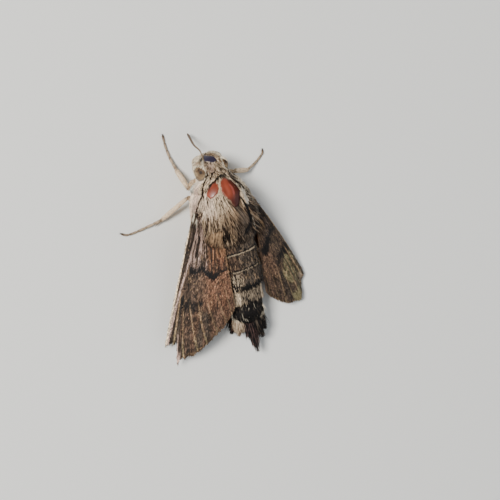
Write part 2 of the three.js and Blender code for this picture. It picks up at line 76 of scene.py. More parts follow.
def fade(x: Array, end: float, run: float) -> Array:
    """1, easing to 0 over the run before the end."""
    return smooth((end - x) / run)


def band(x: Array, centre: Array | float, half: Array | float, soft: Array | float) -> Array:
    """1 within half of the centre, easing to 0 over soft."""
    return smooth((half + soft - np.abs(x - centre)) / soft)


def unit(v: Array) -> Array:
    """Vectors along the last axis, each made one long."""
    return v / np.maximum(np.linalg.norm(v, axis=-1, keepdims=True), 1e-12)


def through(stations: list | Array, values: list | Array, at: Array) -> Array:
    """A smooth curve through named stations.

    Formula: a cubic between neighbouring stations, whose slope at a station is that of the line
    from the station before it to the one after it.

    Args:
        stations: growing positions of the stations.
        values: a number or a row of numbers for each station.
        at: where the curve is wanted.

    Returns:
        The curve's numbers or rows, in the shape of at.
    """
    stations = np.asarray(stations, float)
    rows = np.asarray(values, float).reshape(len(stations), -1)
    at = np.clip(np.asarray(at, float), stations[0], stations[-1])
    index = np.arange(len(stations))
    before, after = np.maximum(index - 1, 0), np.minimum(index + 1, index[-1])
    slope = (rows[after] - rows[before]) / (stations[after] - stations[before])[:, None]
    k = np.clip(np.searchsorted(stations, at, side="right") - 1, 0, index[-1] - 1)
    span = (stations[k + 1] - stations[k])[..., None]
    x = (at - stations[k])[..., None] / span
    curve = (
        (2 * x**3 - 3 * x**2 + 1) * rows[k] + (x**3 - 2 * x**2 + x) * span * slope[k]
        + (3 * x**2 - 2 * x**3) * rows[k + 1] + (x**3 - x**2) * span * slope[k + 1]
    )
    return curve[..., 0] if np.ndim(values) == 1 else curve


def noise(x: Array, y: Array, seed: float = 0.0) -> Array:
    """Smooth random values from 0 to 1 over a plane.

    Formula: a scrambled sine gives each whole-number corner its value, and a point eases between
    the four corners round it.

    Args:
        x: first coordinate.
        y: second coordinate.
        seed: picks one of many patterns.

    Returns:
        The values, 0 to 1.
    """
    x0, y0 = np.floor(x), np.floor(y)
    fx, fy = smooth(x - x0), smooth(y - y0)

    def corner(dx: int, dy: int) -> Array:
        """The scrambled value at one corner."""
        h = np.sin((x0 + dx) * 12.9898 + (y0 + dy) * 78.233 + seed * 37.719) * 4375.8545
        return h - np.floor(h)

    front = corner(0, 0) * (1 - fx) + corner(1, 0) * fx
    back = corner(0, 1) * (1 - fx) + corner(1, 1) * fx
    return front * (1 - fy) + back * fy


def turn(axis: str, degrees: float) -> Array:
    """The 3 by 3 matrix of a turn about one axis."""
    return np.array(Matrix.Rotation(math.radians(degrees), 3, axis))


def colour(red: int, green: int, blue: int) -> Array:
    """A screen colour of 0 to 255 as linear light."""
    c = np.array([red, green, blue]) / 255.0
    return np.where(c <= 0.04045, c / 12.92, ((c + 0.055) / 1.055) ** 2.4)


def blend(tint: Array, other: Array, mask: Array) -> Array:
    """tint where the mask is 0 and the other colour where it is 1."""
    return tint + (other - tint) * np.clip(mask, 0.0, 1.0)[..., None]


def layered(tint: Array, *layers: tuple[Array, Array]) -> Array:
    """A tint with others laid over it in turn, each as strongly as its own mask says.

    Args:
        tint: a linear colour, or one for each point.
        layers: pairs of a colour and how much of it, 0 to 1.

    Returns:
        The colours.
    """
    for other, mask in layers:
        tint = blend(tint, other, mask)
    return tint


# ---- colours
CREAM = colour(238, 214, 182)
IVORY = colour(252, 240, 216)
ROSY_WHITE = colour(255, 231, 210)
TAN = colour(180, 148, 114)
GREY_BROWN = colour(98, 86, 75)
BROWN = colour(80, 58, 43)
DARK = colour(42, 32, 26)
BLACK = colour(14, 11, 11)
CUTICLE = colour(134, 62, 44)
CUTICLE_DEEP = colour(52, 16, 11)
CROWN_PLATE = colour(46, 41, 58)
PINK_CREAM = colour(198, 168, 154)
WING_BROWN = colour(108, 77, 59)
WING_GREY = colour(64, 54, 45)
RUST = colour(88, 56, 42)
ORANGE = colour(186, 138, 102)
OLIVE = colour(128, 121, 88)
TAWNY = colour(192, 112, 40)


# ---- meshes
def shift_to_frame() -> Array:
    """The step from the moth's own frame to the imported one, in millimetres, read at the left eye."""
    low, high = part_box("eye_left")
    return (np.array(low) + np.array(high)) / 2 / MM - TRUNK.eye_centre(-1)


def placed(name: str, data: bpy.types.ID) -> bpy.types.Object:
    """A new object in the scene.

    Args:
        name: the object's name.
        data: its mesh, lamp or camera.

    Returns:
        The object.
    """
    thing = bpy.data.objects.new(name, data)
    bpy.context.scene.collection.objects.link(thing)
    return thing


@dataclass
class Shape:
    """Corners and faces of closed surfaces, in millimetres, with values kept at the corners."""

    points: Array
    quads: Array = field(default_factory=lambda: np.zeros((0, 4), int))
    triangles: Array = field(default_factory=lambda: np.zeros((0, 3), int))
    values: dict[str, Array] = field(default_factory=dict)
    place: Array | None = None

    def corners(self) -> Array:
        """Every face as triangles of corner numbers."""
        q = self.quads
        return np.concatenate([q[:, [0, 1, 2]], q[:, [0, 2, 3]], self.triangles])

    def outward(self) -> "Shape":
        """Turns the faces over if they enclose a negative volume.

        Returns:
            The shape itself.
        """
        p, q, r = (self.points[self.corners()[:, i]] for i in range(3))
        if np.einsum("ij,ij->", p, np.cross(q, r)) < 0:
            self.quads = self.quads[:, ::-1]
            self.triangles = self.triangles[:, ::-1]
        return self

    def painted(self, **values: Array) -> "Shape":
        """Keeps values at the corners; one colour or number fills them all.

        Args:
            values: the values, by name.

        Returns:
            The shape itself.
        """
        for name, value in values.items():
            size = (len(self.points), 3) if np.shape(value)[-1:] == (3,) else (len(self.points),)
            self.values[name] = np.broadcast_to(value, size).copy()
        return self

    @staticmethod
    def joined(shapes: list["Shape"]) -> "Shape":
        """Several shapes as one, with the values that they all hold.

        Args:
            shapes: the shapes.

        Returns:
            The one shape.
        """
        starts = np.cumsum([0] + [len(s.points) for s in shapes[:-1]])
        names = set.intersection(*(set(s.values) for s in shapes))
        mapped = all(s.place is not None for s in shapes)
        return Shape(
            np.concatenate([s.points for s in shapes]),
            np.concatenate([s.quads + k for s, k in zip(shapes, starts)]),
            np.concatenate([s.triangles + k for s, k in zip(shapes, starts)]),
            {n: np.concatenate([s.values[n] for s in shapes]) for n in sorted(names)},
            np.concatenate([s.place for s in shapes]) if mapped else None,
        )

    def build(self, name: str, finish: Material, slot: str, *nodes: str, uv: str = "OFBake") -> None:
        """Makes the mesh object, in metres, dresses it, and lets it ride on the moth.

        Args:
            name: the piece's name.
            finish: its material.
            slot: the record's material slot; not used.
            nodes: the solids that the piece stands for.
            uv: the name of the map that place is written to.
        """
        mesh = bpy.data.meshes.new(name)
        where = (self.points + shift_to_frame()) * MM
        mesh.vertices.add(len(where))
        mesh.vertices.foreach_set("co", where.astype(np.float32).ravel())
        loops = np.concatenate([self.quads.ravel(), self.triangles.ravel()]).astype(np.int32)
        sizes = np.concatenate([np.full(len(self.quads), 4), np.full(len(self.triangles), 3)])
        mesh.loops.add(len(loops))
        mesh.loops.foreach_set("vertex_index", loops)
        mesh.polygons.add(len(sizes))
        mesh.polygons.foreach_set("loop_start", (np.cumsum(sizes) - sizes).astype(np.int32))
        mesh.polygons.foreach_set("use_smooth", np.ones(len(sizes), bool))
        mesh.update(calc_edges=True)
        for key, value in self.values.items():
            kind, word = "FLOAT", "value"
            if value.ndim == 2:
                kind, word = "FLOAT_COLOR", "color"
                value = np.concatenate([value, np.ones((len(value), 1))], axis=1)
            spot = mesh.attributes.new(key, kind, "POINT")
            spot.data.foreach_set(word, value.astype(np.float32).ravel())
        if self.place is not None:
            layer = mesh.uv_layers.new(name=uv)
            layer.uv.foreach_set("vector", self.place[loops].astype(np.float32).ravel())
        mesh.materials.append(finish)
        piece = placed(name, mesh)
        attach(piece, "root")
        if nodes:
            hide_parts(*nodes)
        log.info("%s: %d triangles", name, 2 * len(self.quads) + len(self.triangles))


def ring_faces(rings: int, around: int, first: int, last: int) -> tuple[Array, Array]:
    """Faces of a closed tube whose ring k holds the corners from k times around onwards.

    Args:
        rings: how many rings.
        around: corners in each ring.
        first: the corner that closes the first ring.
        last: the corner that closes the last ring.

    Returns:
        The quads between the rings, and the triangles of the two fans.
    """
    i = np.arange(around)
    j = (i + 1) % around
    row = (np.arange(rings - 1) * around)[:, None]
    quads = np.stack([row + i, row + j, row + around + j, row + around + i], axis=-1).reshape(-1, 4)
    end = (rings - 1) * around
    fan = np.stack([np.full(around, first), j, i], axis=-1)
    other = np.stack([np.full(around, last), end + i, end + j], axis=-1)
    return quads, np.concatenate([fan, other])


def tube(path: Array, radius: Array, around: int = 12, flatten: Array | float = 1.0,
         up: tuple | Array = (0.0, 0.0, 1.0)) -> Shape:
    """A tube along a path, closed at both ends.

    Formula: each ring stands square to the path; a corner lies radius times the cosine to the side
    and radius times flatten times the sine towards up.

    Args:
        path: (n, 3) middle line.
        radius: a radius for each point of it.
        around: corners in a ring.
        flatten: height over width.
        up: which way the ring's top looks.

    Returns:
        The shape, with values along (0 to 1 down the path) and round (0 to 1 about it).
    """
    n = len(path)
    along = unit(np.gradient(path, axis=0))
    side = unit(np.cross(along, np.array(up)))
    top = np.cross(side, along)
    angle = np.arange(around) / around * 2 * math.pi
    size = np.broadcast_to(radius, n)[:, None, None]
    flat = np.broadcast_to(flatten, n)[:, None, None]
    rings = (
        path[:, None, :] + side[:, None, :] * size * np.cos(angle)[None, :, None]
        + top[:, None, :] * size * flat * np.sin(angle)[None, :, None]
    )
    points = np.concatenate([rings.reshape(-1, 3), path[:1], path[-1:]])
    quads, triangles = ring_faces(n, around, n * around, n * around + 1)
    t = np.linspace(0, 1, n)
    values = {
        "along": np.concatenate([np.repeat(t, around), [0, 1]]),
        "round": np.concatenate([np.tile(angle / (2 * math.pi), n), [0, 0]]),
    }
    return Shape(points, quads, triangles, values).outward()


def sheet(top: Array, under: Array) -> tuple[Array, Array]:
    """Points and quads of a closed thin sheet from its two sides.

    Formula: the upper grid, the lower grid turned over, and a strip of quads round the four edges.

    Args:
        top: (rows, columns, 3) upper side.
        under: the lower side in the same order.

    Returns:
        The corners, upper ones first, and the quads.
    """
    rows, columns = top.shape[:2]
    number = np.arange(rows * columns).reshape(rows, columns)
    low = number + rows * columns
    upper = np.stack([number[:-1, :-1], number[:-1, 1:], number[1:, 1:], number[1:, :-1]], -1)
    lower = np.stack([low[:-1, :-1], low[1:, :-1], low[1:, 1:], low[:-1, 1:]], -1)
    rim = np.concatenate([number[0, :-1], number[:-1, -1], number[-1, :0:-1], number[:0:-1, 0]])
    ahead = np.roll(rim, -1)
    edge = np.stack([ahead, rim, rim + rows * columns, ahead + rows * columns], -1)
    quads = np.concatenate([upper.reshape(-1, 4), lower.reshape(-1, 4), edge])
    return np.concatenate([top.reshape(-1, 3), under.reshape(-1, 3)]), quads


# ---- coats
PATCH = 0.003  # how wide a tuft's place on the bake map is
SUNK = 0.03  # how far under the skin a tuft starts, in millimetres


@dataclass
class Tufts:
    """The tufts of one coat, a row for each: where they grow, how they lie, and their colours."""

    root: Array
    normal: Array
    lie: Array
    length: Array
    width: Array | float
    tint: Array
    place: Array
    rise: Array | float = 0.2
    droop: Array | float = 0.12
    sway: Array | float = 0.0
    thick: float = 0.3
    # how much the root is darkened, as painted shade between the tufts
    shade: float = 0.64
    rings: int = 3

    def shape(self) -> Shape:
        """One closed three-sided blade for each tuft.

        Formula: the middle line runs from just under the skin along the lie by the length times x,
        out by the length times (rise times x less droop times x squared), and aside by the length
        times sway times x squared, for x from 0 to 1. A ring has two corners at the sides and one
        on top; it is widest in the middle and closes in the tip.

        Returns:
            The blades as one shape, darker at the root by painted shade, each with its bake patch.
        """
        steps = np.linspace(0, 0.78, self.rings)
        full = np.interp(steps, [0, 0.35, 0.78], [0.7, 1.0, 0.62])
        lie = unit(self.lie - self.normal * np.sum(self.lie * self.normal, -1, keepdims=True))
        side = np.cross(lie, self.normal)

        def column(value: Array | float) -> Array:
            """A number for each tuft, as a column."""
            return np.broadcast_to(value, len(self.root))[:, None]

        def middle(x: float) -> Array:
            """The middle line at x.

            Args:
                x: how far along, 0 to 1.

            Returns:
                The point.
            """
            out = column(self.rise) * x - column(self.droop) * x * x
            return (
                self.root - self.normal * SUNK
                + column(self.length) * (lie * x + self.normal * out + side * column(self.sway) * x * x)
            )

        half = column(self.width) / 2
        corners = []
        for x, wide in zip(steps, full):
            m = middle(x)
            top = self.normal * half * self.thick * 2 * wide
            corners += [m - side * half * wide, m + side * half * wide, m + top]
        corners.append(middle(1.0))
        points = np.stack(corners, axis=1)
        per = points.shape[1]
        quads, fans = ring_faces(self.rings, 3, 0, per - 1)
        triangles = np.concatenate([[[0, 2, 1]], fans[3:]])
        start = (np.arange(len(points)) * per)[:, None, None]
        x = np.concatenate([np.repeat(steps, 3), [1.0]])
        # Painted shade: each blade is darkened towards its root, where the tufts over it would shade it.
        dark = 1 - self.shade * (1 - smooth(x / 0.5))
        across = np.concatenate([np.tile([-0.5, 0.5, 0.0], self.rings), [0.0]])
        spread = np.stack([across, x - 0.5], -1) * PATCH
        return Shape(
            points.reshape(-1, 3), (quads + start).reshape(-1, 4), (triangles + start).reshape(-1, 3),
            {"tint": (self.tint[:, None, :] * dark[None, :, None]).reshape(-1, 3)},
            (self.place[:, None, :] + spread).reshape(-1, 2),
        ).outward()


def scattered(weight: Array, count: int, rng: Rng) -> tuple[Array, Array]:
    """Places on a grid of cells, spread evenly and as dense as the weights ask.

    Formula: even steps through the running sum of the weights name the cells, and each place is at
    random inside its cell.

    Args:
        weight: (rows, columns) how many tufts a cell asks for, to any scale.
        count: how many places.
        rng: the source of chance.

    Returns:
        Row and column places, each from 0 to 1.
    """
    total = np.cumsum(weight.ravel())
    picks = (np.arange(count) + rng.random(count)) / count * total[-1]
    cell = np.minimum(np.searchsorted(total, picks), weight.size - 1)
    row, column = np.divmod(cell, weight.shape[1])
    return (row + rng.random(count)) / weight.shape[0], (column + rng.random(count)) / weight.shape[1]


@dataclass
class Ground:
    """A grid of points that tufts stand on. Rows run the way that the coat lies."""

    grid: Array
    sign: float = 1.0

    def area(self) -> Array:
        """How large each cell is."""
        down, across = np.diff(self.grid, axis=0)[:, :-1], np.diff(self.grid, axis=1)[:-1]
        return np.linalg.norm(np.cross(down, across), axis=-1)

    def at(self, u: Array, v: Array) -> tuple[Array, Array, Array]:
        """A place on the grid.

        Formula: the four corners of the cell, shared out by how near they are.

        Args:
            u: 0 to 1 down the rows.
            v: 0 to 1 across the columns.

        Returns:
            The point, the normal there, and the unit vector down the rows.
        """
        rows, columns = self.grid.shape[:2]
        y, x = u * (rows - 1), v * (columns - 1)
        i, j = np.minimum(y.astype(int), rows - 2), np.minimum(x.astype(int), columns - 2)
        fy, fx = (y - i)[:, None], (x - j)[:, None]
        a, b = self.grid[i, j], self.grid[i, j + 1]
        c, d = self.grid[i + 1, j], self.grid[i + 1, j + 1]
        root = (a * (1 - fx) + b * fx) * (1 - fy) + (c * (1 - fx) + d * fx) * fy
        down = (c - a) * (1 - fx) + (d - b) * fx
        across = (b - a) * (1 - fy) + (d - c) * fy
        return root, self.sign * unit(np.cross(down, across)), unit(down)

    def facing(self, away_from: Array) -> "Ground":
        """Turns the normals so that they look away from a point, and returns the ground.

        Args:
            away_from: the point.

        Returns:
            The ground itself.
        """
        root, normal, _ = self.at(np.array([0.5]), np.array([0.25]))
        if np.sum((root - away_from) * normal) < 0:
            self.sign = -self.sign
        return self

    def grow(self, places: tuple[Array, Array], size: Array, width: Array | float, tint: Array, rng: Rng,
             patch: tuple = (0.01, 0.01, 0.98, 0.98), lie: Array | None = None, sway: float = 0.08,
             **habit: object) -> Shape:
        """Tufts on the grid.

        Args:
            places: u and v of each, as at() takes them.
            size: their lengths.
            width: how wide they are.
            tint: their colours.
            rng: the source of chance.
            patch: left, low, wide and high of the grid's share of the bake map.
            lie: which way they lie, if not down the rows.
            sway: how far they commonly bend aside, over their length.
            habit: the other fields of Tufts.

        Returns:
            The tufts as one shape.
        """
        u, v = places
        root, normal, down = self.at(u, v)
        left, low, wide, high = patch
        place = np.stack([left + wide * v, low + high * u], -1)
        aside = rng.normal(0, sway, len(u))
        lie = down if lie is None else lie
        return Tufts(root, normal, lie, size, width, tint, place, sway=aside, **habit).shape()


class Side(Enum):
    """The moth's two sides."""

    LEFT = -1
    RIGHT = 1

    @property
    def word(self) -> str:
        """The side's name as piece names have it."""
        return self.name.lower()


# ---- trunk
GIRTH = 3.4  # the trunk's mean radius, which turns a length round it into an angle
POLE_GAP = 0.004  # how much of the way from tail to face the skin's grid leaves out at each pole


@dataclass(frozen=True)
class Zone:
    """One coat piece of the trunk: b from back to front, t from low to high, and how many tufts."""

    name: str
    back: float
    front: float
    low: float
    high: float
    count: int
    slot: str


@dataclass(frozen=True)
class Trunk:
    """Head, thorax and abdomen as one rounded form along a tilted axis, with its coat."""

    centre: tuple = (0, 0, 5.6)
    pitch: float = 6.0
    roll: float = 12.0
    head_turn: float = 5.0
    head_roll: float = 14.0
    neck: float = 3.65
    head_tip: float = 6.76
    head_dome: float = 5.0
    tail_tip: float = -17.28
    tail_dome: float = -15.6
    eye: tuple = (1.5, 4.7, 0.27)
    eye_radii: tuple = (0.93, 1.04, 1)
    rows: int = 250
    around: int = 210
    # Sections from the tail to the face: place, half width, height above and below, middle height.
    sections: tuple = (
        (-17.4, 2.05, 1.5, 1.5, -0.5), (-15.6, 2.3, 1.8, 1.7, -0.5), (-13.7, 2.72, 2.3, 2.1, -0.4),
        (-11, 3.12, 2.7, 2.4, -0.3), (-8, 3.35, 2.95, 2.6, -0.2), (-5.5, 3.5, 3.2, 2.9, -0.1),
        (-3.5, 3.95, 3.65, 3.4, 0), (-1, 4.25, 3.95, 3.65, 0), (1, 4.05, 3.75, 3.5, 0),
        (2.7, 3.3, 3.1, 2.9, 0), (3.7, 2.55, 2.35, 2.3, -0.1), (4.9, 2.35, 2.1, 2.2, -0.2),
        (6.9, 2.15, 1.9, 2, -0.3),
    )
    segment_edges: tuple = (-5.5, -6.95, -9.5, -11.7, -13.7, -15.6)
    zones: tuple = (
        Zone("coat_head", 3.7, 6.74, 0, 360, 10500, "fur"),
        Zone("coat_collar", 2.3, 3.7, 0, 360, 5500, "fur"),
        Zone("coat_back", -3.6, 2.3, 25, 160, 11500, "fur"),
        Zone("coat_flank_left", -3.6, 2.3, 160, 270, 6000, "fur"),
        Zone("coat_flank_right", -3.6, 2.3, 270, 385, 6000, "fur"),
        Zone("coat_waist", -9.5, -3.6, 0, 360, 10300, "abdomen"),
        Zone("coat_abdomen", -17.25, -9.5, 0, 360, 10900, "abdomen"),
    )

    def axes(self) -> Array:
        """The body frame's turn: roll about the long axis, then pitch."""
        return turn("X", self.pitch) @ turn("Y", -self.roll)

    def to_model(self, points: Array) -> Array:
        """Body-frame points in the moth's own frame."""
        return points @ self.axes().T + np.array(self.centre)

    def to_body(self, points: Array) -> Array:
        """Points of the moth's own frame in the body frame."""
        return (points - np.array(self.centre)) @ self.axes()

    def head_axes(self) -> Array:
        """The head's turn on the neck."""
        return turn("Z", self.head_turn) @ turn("Y", self.head_roll)

    def turned(self, points: Array) -> Array:
        """Head points, drawn looking straight ahead, as the turned head holds them."""
        pivot = np.array([0, self.neck, 0])
        return (points - pivot) @ self.head_axes().T + pivot

    def on_head(self, *points: tuple[float, float, float]) -> Array:
        """Head points in the moth's own frame."""
        return self.to_model(self.turned(np.array(points, float)))

    def head_right(self) -> Array:
        """The head's own right in the moth's own frame."""
        return (self.axes() @ self.head_axes())[:, 0]

    def eye_centre(self, side: int) -> Array:
        """The middle of an eye in the moth's own frame."""
        a, b, c = self.eye
        return self.on_head((side * a, b, c))[0]

    def section(self, b: Array) -> tuple[Array, Array, Array, Array]:
        """Half width, height above, height below and middle height at b, without the domes."""
        table = np.array(self.sections)
        return tuple(np.moveaxis(through(table[:, 0], table[:, 1:], b), -1, 0))

    def point(self, b: Array, t: Array, lift: Array | float = 0.0) -> Array:
        """A point of the trunk in the moth's own frame.

        Formula: an oval of the section's half width and heights, grown by lift; the domes close it
        with a rounded square's curve at the face and a circle's at the tail, and it turns with the
        head in front of the neck.

        Args:
            b: place along the body.
            t: angle round it in degrees.
            lift: how far outside the solid's surface; negative is under it.

        Returns:
            The points, with the same leading shape as b and t.
        """
        half, above, below, middle = self.section(b)
        face = np.clip((b - self.head_dome) / (self.head_tip - self.head_dome), 0, 1)
        end = np.clip((self.tail_dome - b) / (self.tail_dome - self.tail_tip), 0, 1)
        close = (1 - face**2.3) ** (1 / 2.3) * np.sqrt(1 - end**2)
        angle = np.radians(t)
        height = np.where(np.sin(angle) > 0, above, below)
        across, up = (half + lift) * close * np.cos(angle), (height + lift) * close * np.sin(angle)
        flat = np.stack([across, b + 0 * t, middle + up], axis=-1)
        share = ramp(b, 2.9, 1.2)[..., None]
        return self.to_model(flat * (1 - share) + self.turned(flat) * share)

    def station(self, s: Array) -> Array:
        """b at s, from the tail's pole at 0 to the face's at 1, slower over the domes.

        Args:
            s: 0 to 1 from pole to pole.

        Returns:
            The places along the body.
        """
        tail, face = 0.12, 0.87
        run = self.tail_dome + (self.head_dome - self.tail_dome) * (s - tail) / (face - tail)
        rear = np.cos(math.pi / 2 * np.clip(s / tail, 0, 1)) * (self.tail_tip - self.tail_dome)
        front = np.sin(math.pi / 2 * np.clip((s - face) / (1 - face), 0, 1))
        front = self.head_dome + front * (self.head_tip - self.head_dome)
        return np.where(s < tail, self.tail_dome + rear, np.where(s > face, front, run))

    # ---- bare plates, the gap behind the collar, and other places on the skin
    def bare(self, b: Array, t: Array) -> Array:
        """Where the thorax has lost its scales: two patches, each between two curves of t.

        Args:
            b: place along the body.
            t: angle round it in degrees.

        Returns:
            1 on bare skin, easing to 0 round it.
        """
        right = np.minimum(
            through([-0.5, 0.1, 0.7, 1.6, 2.3, 3.1, 3.4], [72, 77, 80, 88, 90.5, 86, 79], b) - t,
            t - through([-0.5, 0.1, 0.7, 1.6, 2.3, 3.1, 3.4], [71, 60, 55.5, 50, 51, 58, 69], b),
        )
        left = np.minimum(
            through([1.4, 1.9, 2.45, 2.95, 3.3], [116, 122.5, 121, 115, 104], b) - t,
            t - through([1.4, 1.9, 2.45, 2.95, 3.3], [114, 100, 94, 93, 98], b),
        )
        inside = np.where(b > 1.42, np.maximum(right, np.where(b < 3.3, left, -5)), right)
        inside = np.where(b > 3.4, -5, inside)
        ragged = 3.2 * (noise(t * 0.45, b * 4.5, 21) - 0.5)
        return smooth((inside + ragged + 0.8) / 1.8) * (b > -0.5)

    def crown(self, b: Array, t: Array) -> Array:
        """The bare plate between the feelers, a bar across the top of the face.

        Args:
            b: place along the body.
            t: angle round it in degrees.

        Returns:
            1 on the plate, easing to 0 round it.
        """
        ragged = 0.1 * (noise(t * 0.5, b * 5, 6) - 0.5)
        front = through([70, 90, 112, 122], [6.3, 6.55, 6.74, 6.7], t)
        back = through([70, 78, 88, 105, 122], [5.82, 5.67, 5.62, 5.9, 6.2], t)
        inside = np.minimum.reduce([front - b, b - back, (t - 70) * 0.025, (122 - t) * 0.025])
        return smooth((inside + ragged + 0.02) / 0.06)

    def gap(self, b: Array, t: Array) -> Array:
        """The gap behind the collar, across the back; marks() paints it black, as painted shade."""
        width = 0.07 + 0.28 * noise(t * 0.55, b * 0, 5)
        return band(b, self.gap_line(t), width, 0.06) * band(t, 88, 27, 6)

    def gap_line(self, t: Array) -> Array:
        """b of the gap at t."""
        angles = [50, 59, 69, 85, 95, 103, 112, 120]
        return through(angles, [3.25, 3.38, 3.55, 3.69, 3.56, 3.36, 3.03, 2.7], t)

    def spot(self, b: Array, t: Array, b0: float, t0: float, radius: float, size: float) -> Array:
        """A round spot about (b0, t0); radius turns degrees into a length."""
        apart = np.hypot(b - b0, np.radians(t - t0) * radius)
        return smooth((size - apart) / (size * 0.5) + 0.5)

    def pits(self, b: Array, t: Array) -> Array:
        """A small hollow beside the crown plate, where a feeler has gone; marks() paints it black, as painted
        shade.
        """
        return self.spot(b, t, 6.4, 140, 1.45, 0.24)

    def partings(self, b: Array, t: Array) -> Array:
        """Dark lines where the long side scales part from those of the back, one on each side, painted as the
        shade in the partings.

        Args:
            b: place along the body.
            t: angle round it in degrees.

        Returns:
            1 on the lines, easing to 0 beside them.
        """
        left = ((-1.9, 166), (-0.3, 151), (1.3, 139), (2, 134), (2.6, 132), (3.2, 134), (3.76, 138),
                (4.66, 125), (5, 123))
        right = ((-3.4, 56), (-2.6, 50), (-1.6, 52), (-0.3, 55), (0.4, 46), (0.95, 37), (1.85, 37),
                 (2.65, 43), (3.6, 46))
        left, right = (through(*zip(*line), b) for line in (left, right))
        return np.maximum(
            band(t, left, 0.5, 1) * band(b, 2.1, 2.5, 0.4),
            band(t, right, 0.8 + 2.4 * fade(b, 0.4, 1.2), 1.4) * band(b, 0.4, 3.4, 0.5),
        )

    def seams(self, b: Array, t: Array) -> Array:
        """Fine lines behind the hind edges of two segments, where no tuft lies over the skin.

        Args:
            b: place along the body.
            t: angle round it in degrees.

        Returns:
            1 on the lines, easing to 0 beside them.
        """
        over = band(t, 92, 70, 8)
        first = band(b, -6.8, 0.05 + 0.12 * noise(t * 0.25, b * 0, 8), 0.04)
        second = band(b, -9.32, 0.16 * noise(t * 0.2, b * 0, 9), 0.05) * fade(t, 120, 20)
        return np.maximum(first, second) * over

    def open_skin(self, b: Array, t: Array) -> Array:
        """Where no tuft stands or lies: bare plates, gaps, hollows and seams."""
        kinds = (self.bare, self.crown, self.gap, self.pits, self.seams)
        return np.maximum.reduce([kind(b, t) for kind in kinds])

    def shoulder(self, b: Array, t: Array) -> Array:
        """Where the two shoulder flaps stand out, over the wing roots."""
        flap = np.maximum(band(t, 33, 14, 12), band(t, 147, 14, 12))
        return flap * band(b, -0.75, 2.1, 0.9)

    def near_eye(self, points: Array) -> Array:
        """How far points are from the nearer eye's middle, 1 being the eye's surface.

        Args:
            points: (n, 3) points.

        Returns:
            How far, one for each point.
        """
        pivot = np.array([0, self.neck, 0])
        p = (self.to_body(points) - pivot) @ self.head_axes() + pivot
        p = np.concatenate([np.abs(p[..., :1]), p[..., 1:]], axis=-1)
        return np.linalg.norm((p - np.array(self.eye)) / np.array(self.eye_radii), axis=-1)

    def depth(self, b: Array) -> Array:
        """How far the skin lies under the coat's surface.

        Args:
            b: places along the body.

        Returns:
            Depths in millimetres.
        """
        stations = ((-17.3, 0.12), (-13, 0.15), (-6, 0.17), (-3, 0.28), (1, 0.28), (2.7, 0.24), (3.7, 0.2),
                    (5, 0.14), (6.8, 0.12))
        return through(*zip(*stations), b)

    def lift(self, b: Array, t: Array) -> Array:
        """The skin's height over the solid: under the coat, flush on bare plates, stepped at segments.

        Args:
            b: place along the body.
            t: angle round it in degrees.

        Returns:
            Millimetres, negative under the solid.
        """
        bare = np.maximum(self.bare(b, t), self.crown(b, t))
        up = -self.depth(b) * (1 - bare) - 0.03 * bare
        up = up + 0.16 * self.shoulder(b, t) - 0.3 * self.gap(b, t) - 0.16 * self.pits(b, t)
        up = up + 0.22 * self.spot(b, t, 3.27, 174, 3, 0.6)
        up = up + 0.12 * bare * band(t, 72, 0.5, 9) * band(b, 1.8, 0.5, 1) - 0.08 * self.partings(b, t)
        for front, back in zip(self.segment_edges, self.segment_edges[1:] + (self.tail_tip,)):
            within = (front - b) / (front - back)
            up = up + 0.14 * np.where((within > 0) & (within < 1), within**3, 0) * fade(within, 1, 0.05)
        return up

    # ---- markings
    def marks(self, b: Array, t: Array, chance: Array) -> Array:
        """The trunk's colours, the same for skin and coat.

        Formula: strands are pale or dark as chance and a noise drawn out along the body fall over or
        under a limit that each region sets; bands, lines and patches are laid over them in turn.

        Args:
            b: place along the body.
            t: angle round it in degrees.
            chance: 0 to 1 for each tuft; 0.5 for bare skin.

        Returns:
            Linear colours.
        """
        t = np.mod(t, 360)
        streak = 0.5 * chance + 0.5 * noise(t * 0.45, b * 0.8, 3)
        fine = noise(t * 0.33, b * 3.1, 8) * 0.5 + chance * 0.5
        back = fade(b, 0.9, 3.2)
        # Painted light and shade: the left flank is whitened and the right side darkened, partly the hair's
        # own colours and partly the light that falls from the moth's left.
        left = np.maximum(band(t, 180, 30, 10) * ramp(b, -0.2, 0.7), band(t, 192, 26, 5) * ramp(b, -3.2, 0.6))
        mauve = band(t, 153, 14, 6) * fade(b, -0.1, 0.5)
        right = fade(t, 52, 10) + ramp(t, 340, 10)
        below = ramp(np.sin(np.radians(-t)), 0.1, 0.4)
        # Painted highlight: a patch of brighter, whiter strands on the left of the back, beside the bare
        # plate.
        painted_highlight = band(t, 132, 18, 10) * band(b, 1.6, 0.9, 0.6)
        limit = 0.37 + 0.08 * back + 0.08 * right - 0.23 * left - 0.1 * below - 0.08 * painted_highlight
        pale = layered(
            CREAM,
            (TAN * 0.75 + GREY_BROWN * 0.6, (0.7 + 0.3 * fade(t, 112, 25)) * fade(b, 1.2, 1.2) * (1 - left)),
            (GREY_BROWN * 1.6, 0.6 * fade(b, -2.4, 2.2) * (1 - left)),
            (GREY_BROWN * 1.3, 0.8 * band(t, 70, 15, 8) * fade(b, 0.4, 1.2)),
            (PINK_CREAM * 0.6, mauve),
            (ROSY_WHITE, np.maximum(0.85 * left, 0.6 * painted_highlight)),
            (PINK_CREAM, 0.6 * band(t, 152, 6, 5) * band(b, 1.6, 1.4, 0.6)),
            (colour(168, 160, 148), 0.7 * right),
        )
        dark = blend(BROWN, DARK, 0.4 + 0.5 * right + 0.3 * back) * (1 - 0.45 * back)[..., None]
        strands = smooth((streak - limit - 0.04 * back) / 0.1)
        thorax = layered(
            blend(dark, pale * (1 + 0.25 * back)[..., None], strands),
            (GREY_BROWN * (0.6 + chance)[..., None], 0.9 * band(t, 67, 7, 5) * band(b, -1.7, 1, 0.5)),
            (colour(206, 208, 200), 0.9 * self.spot(b, t, 3.27, 172, 3, 0.5)),
        )
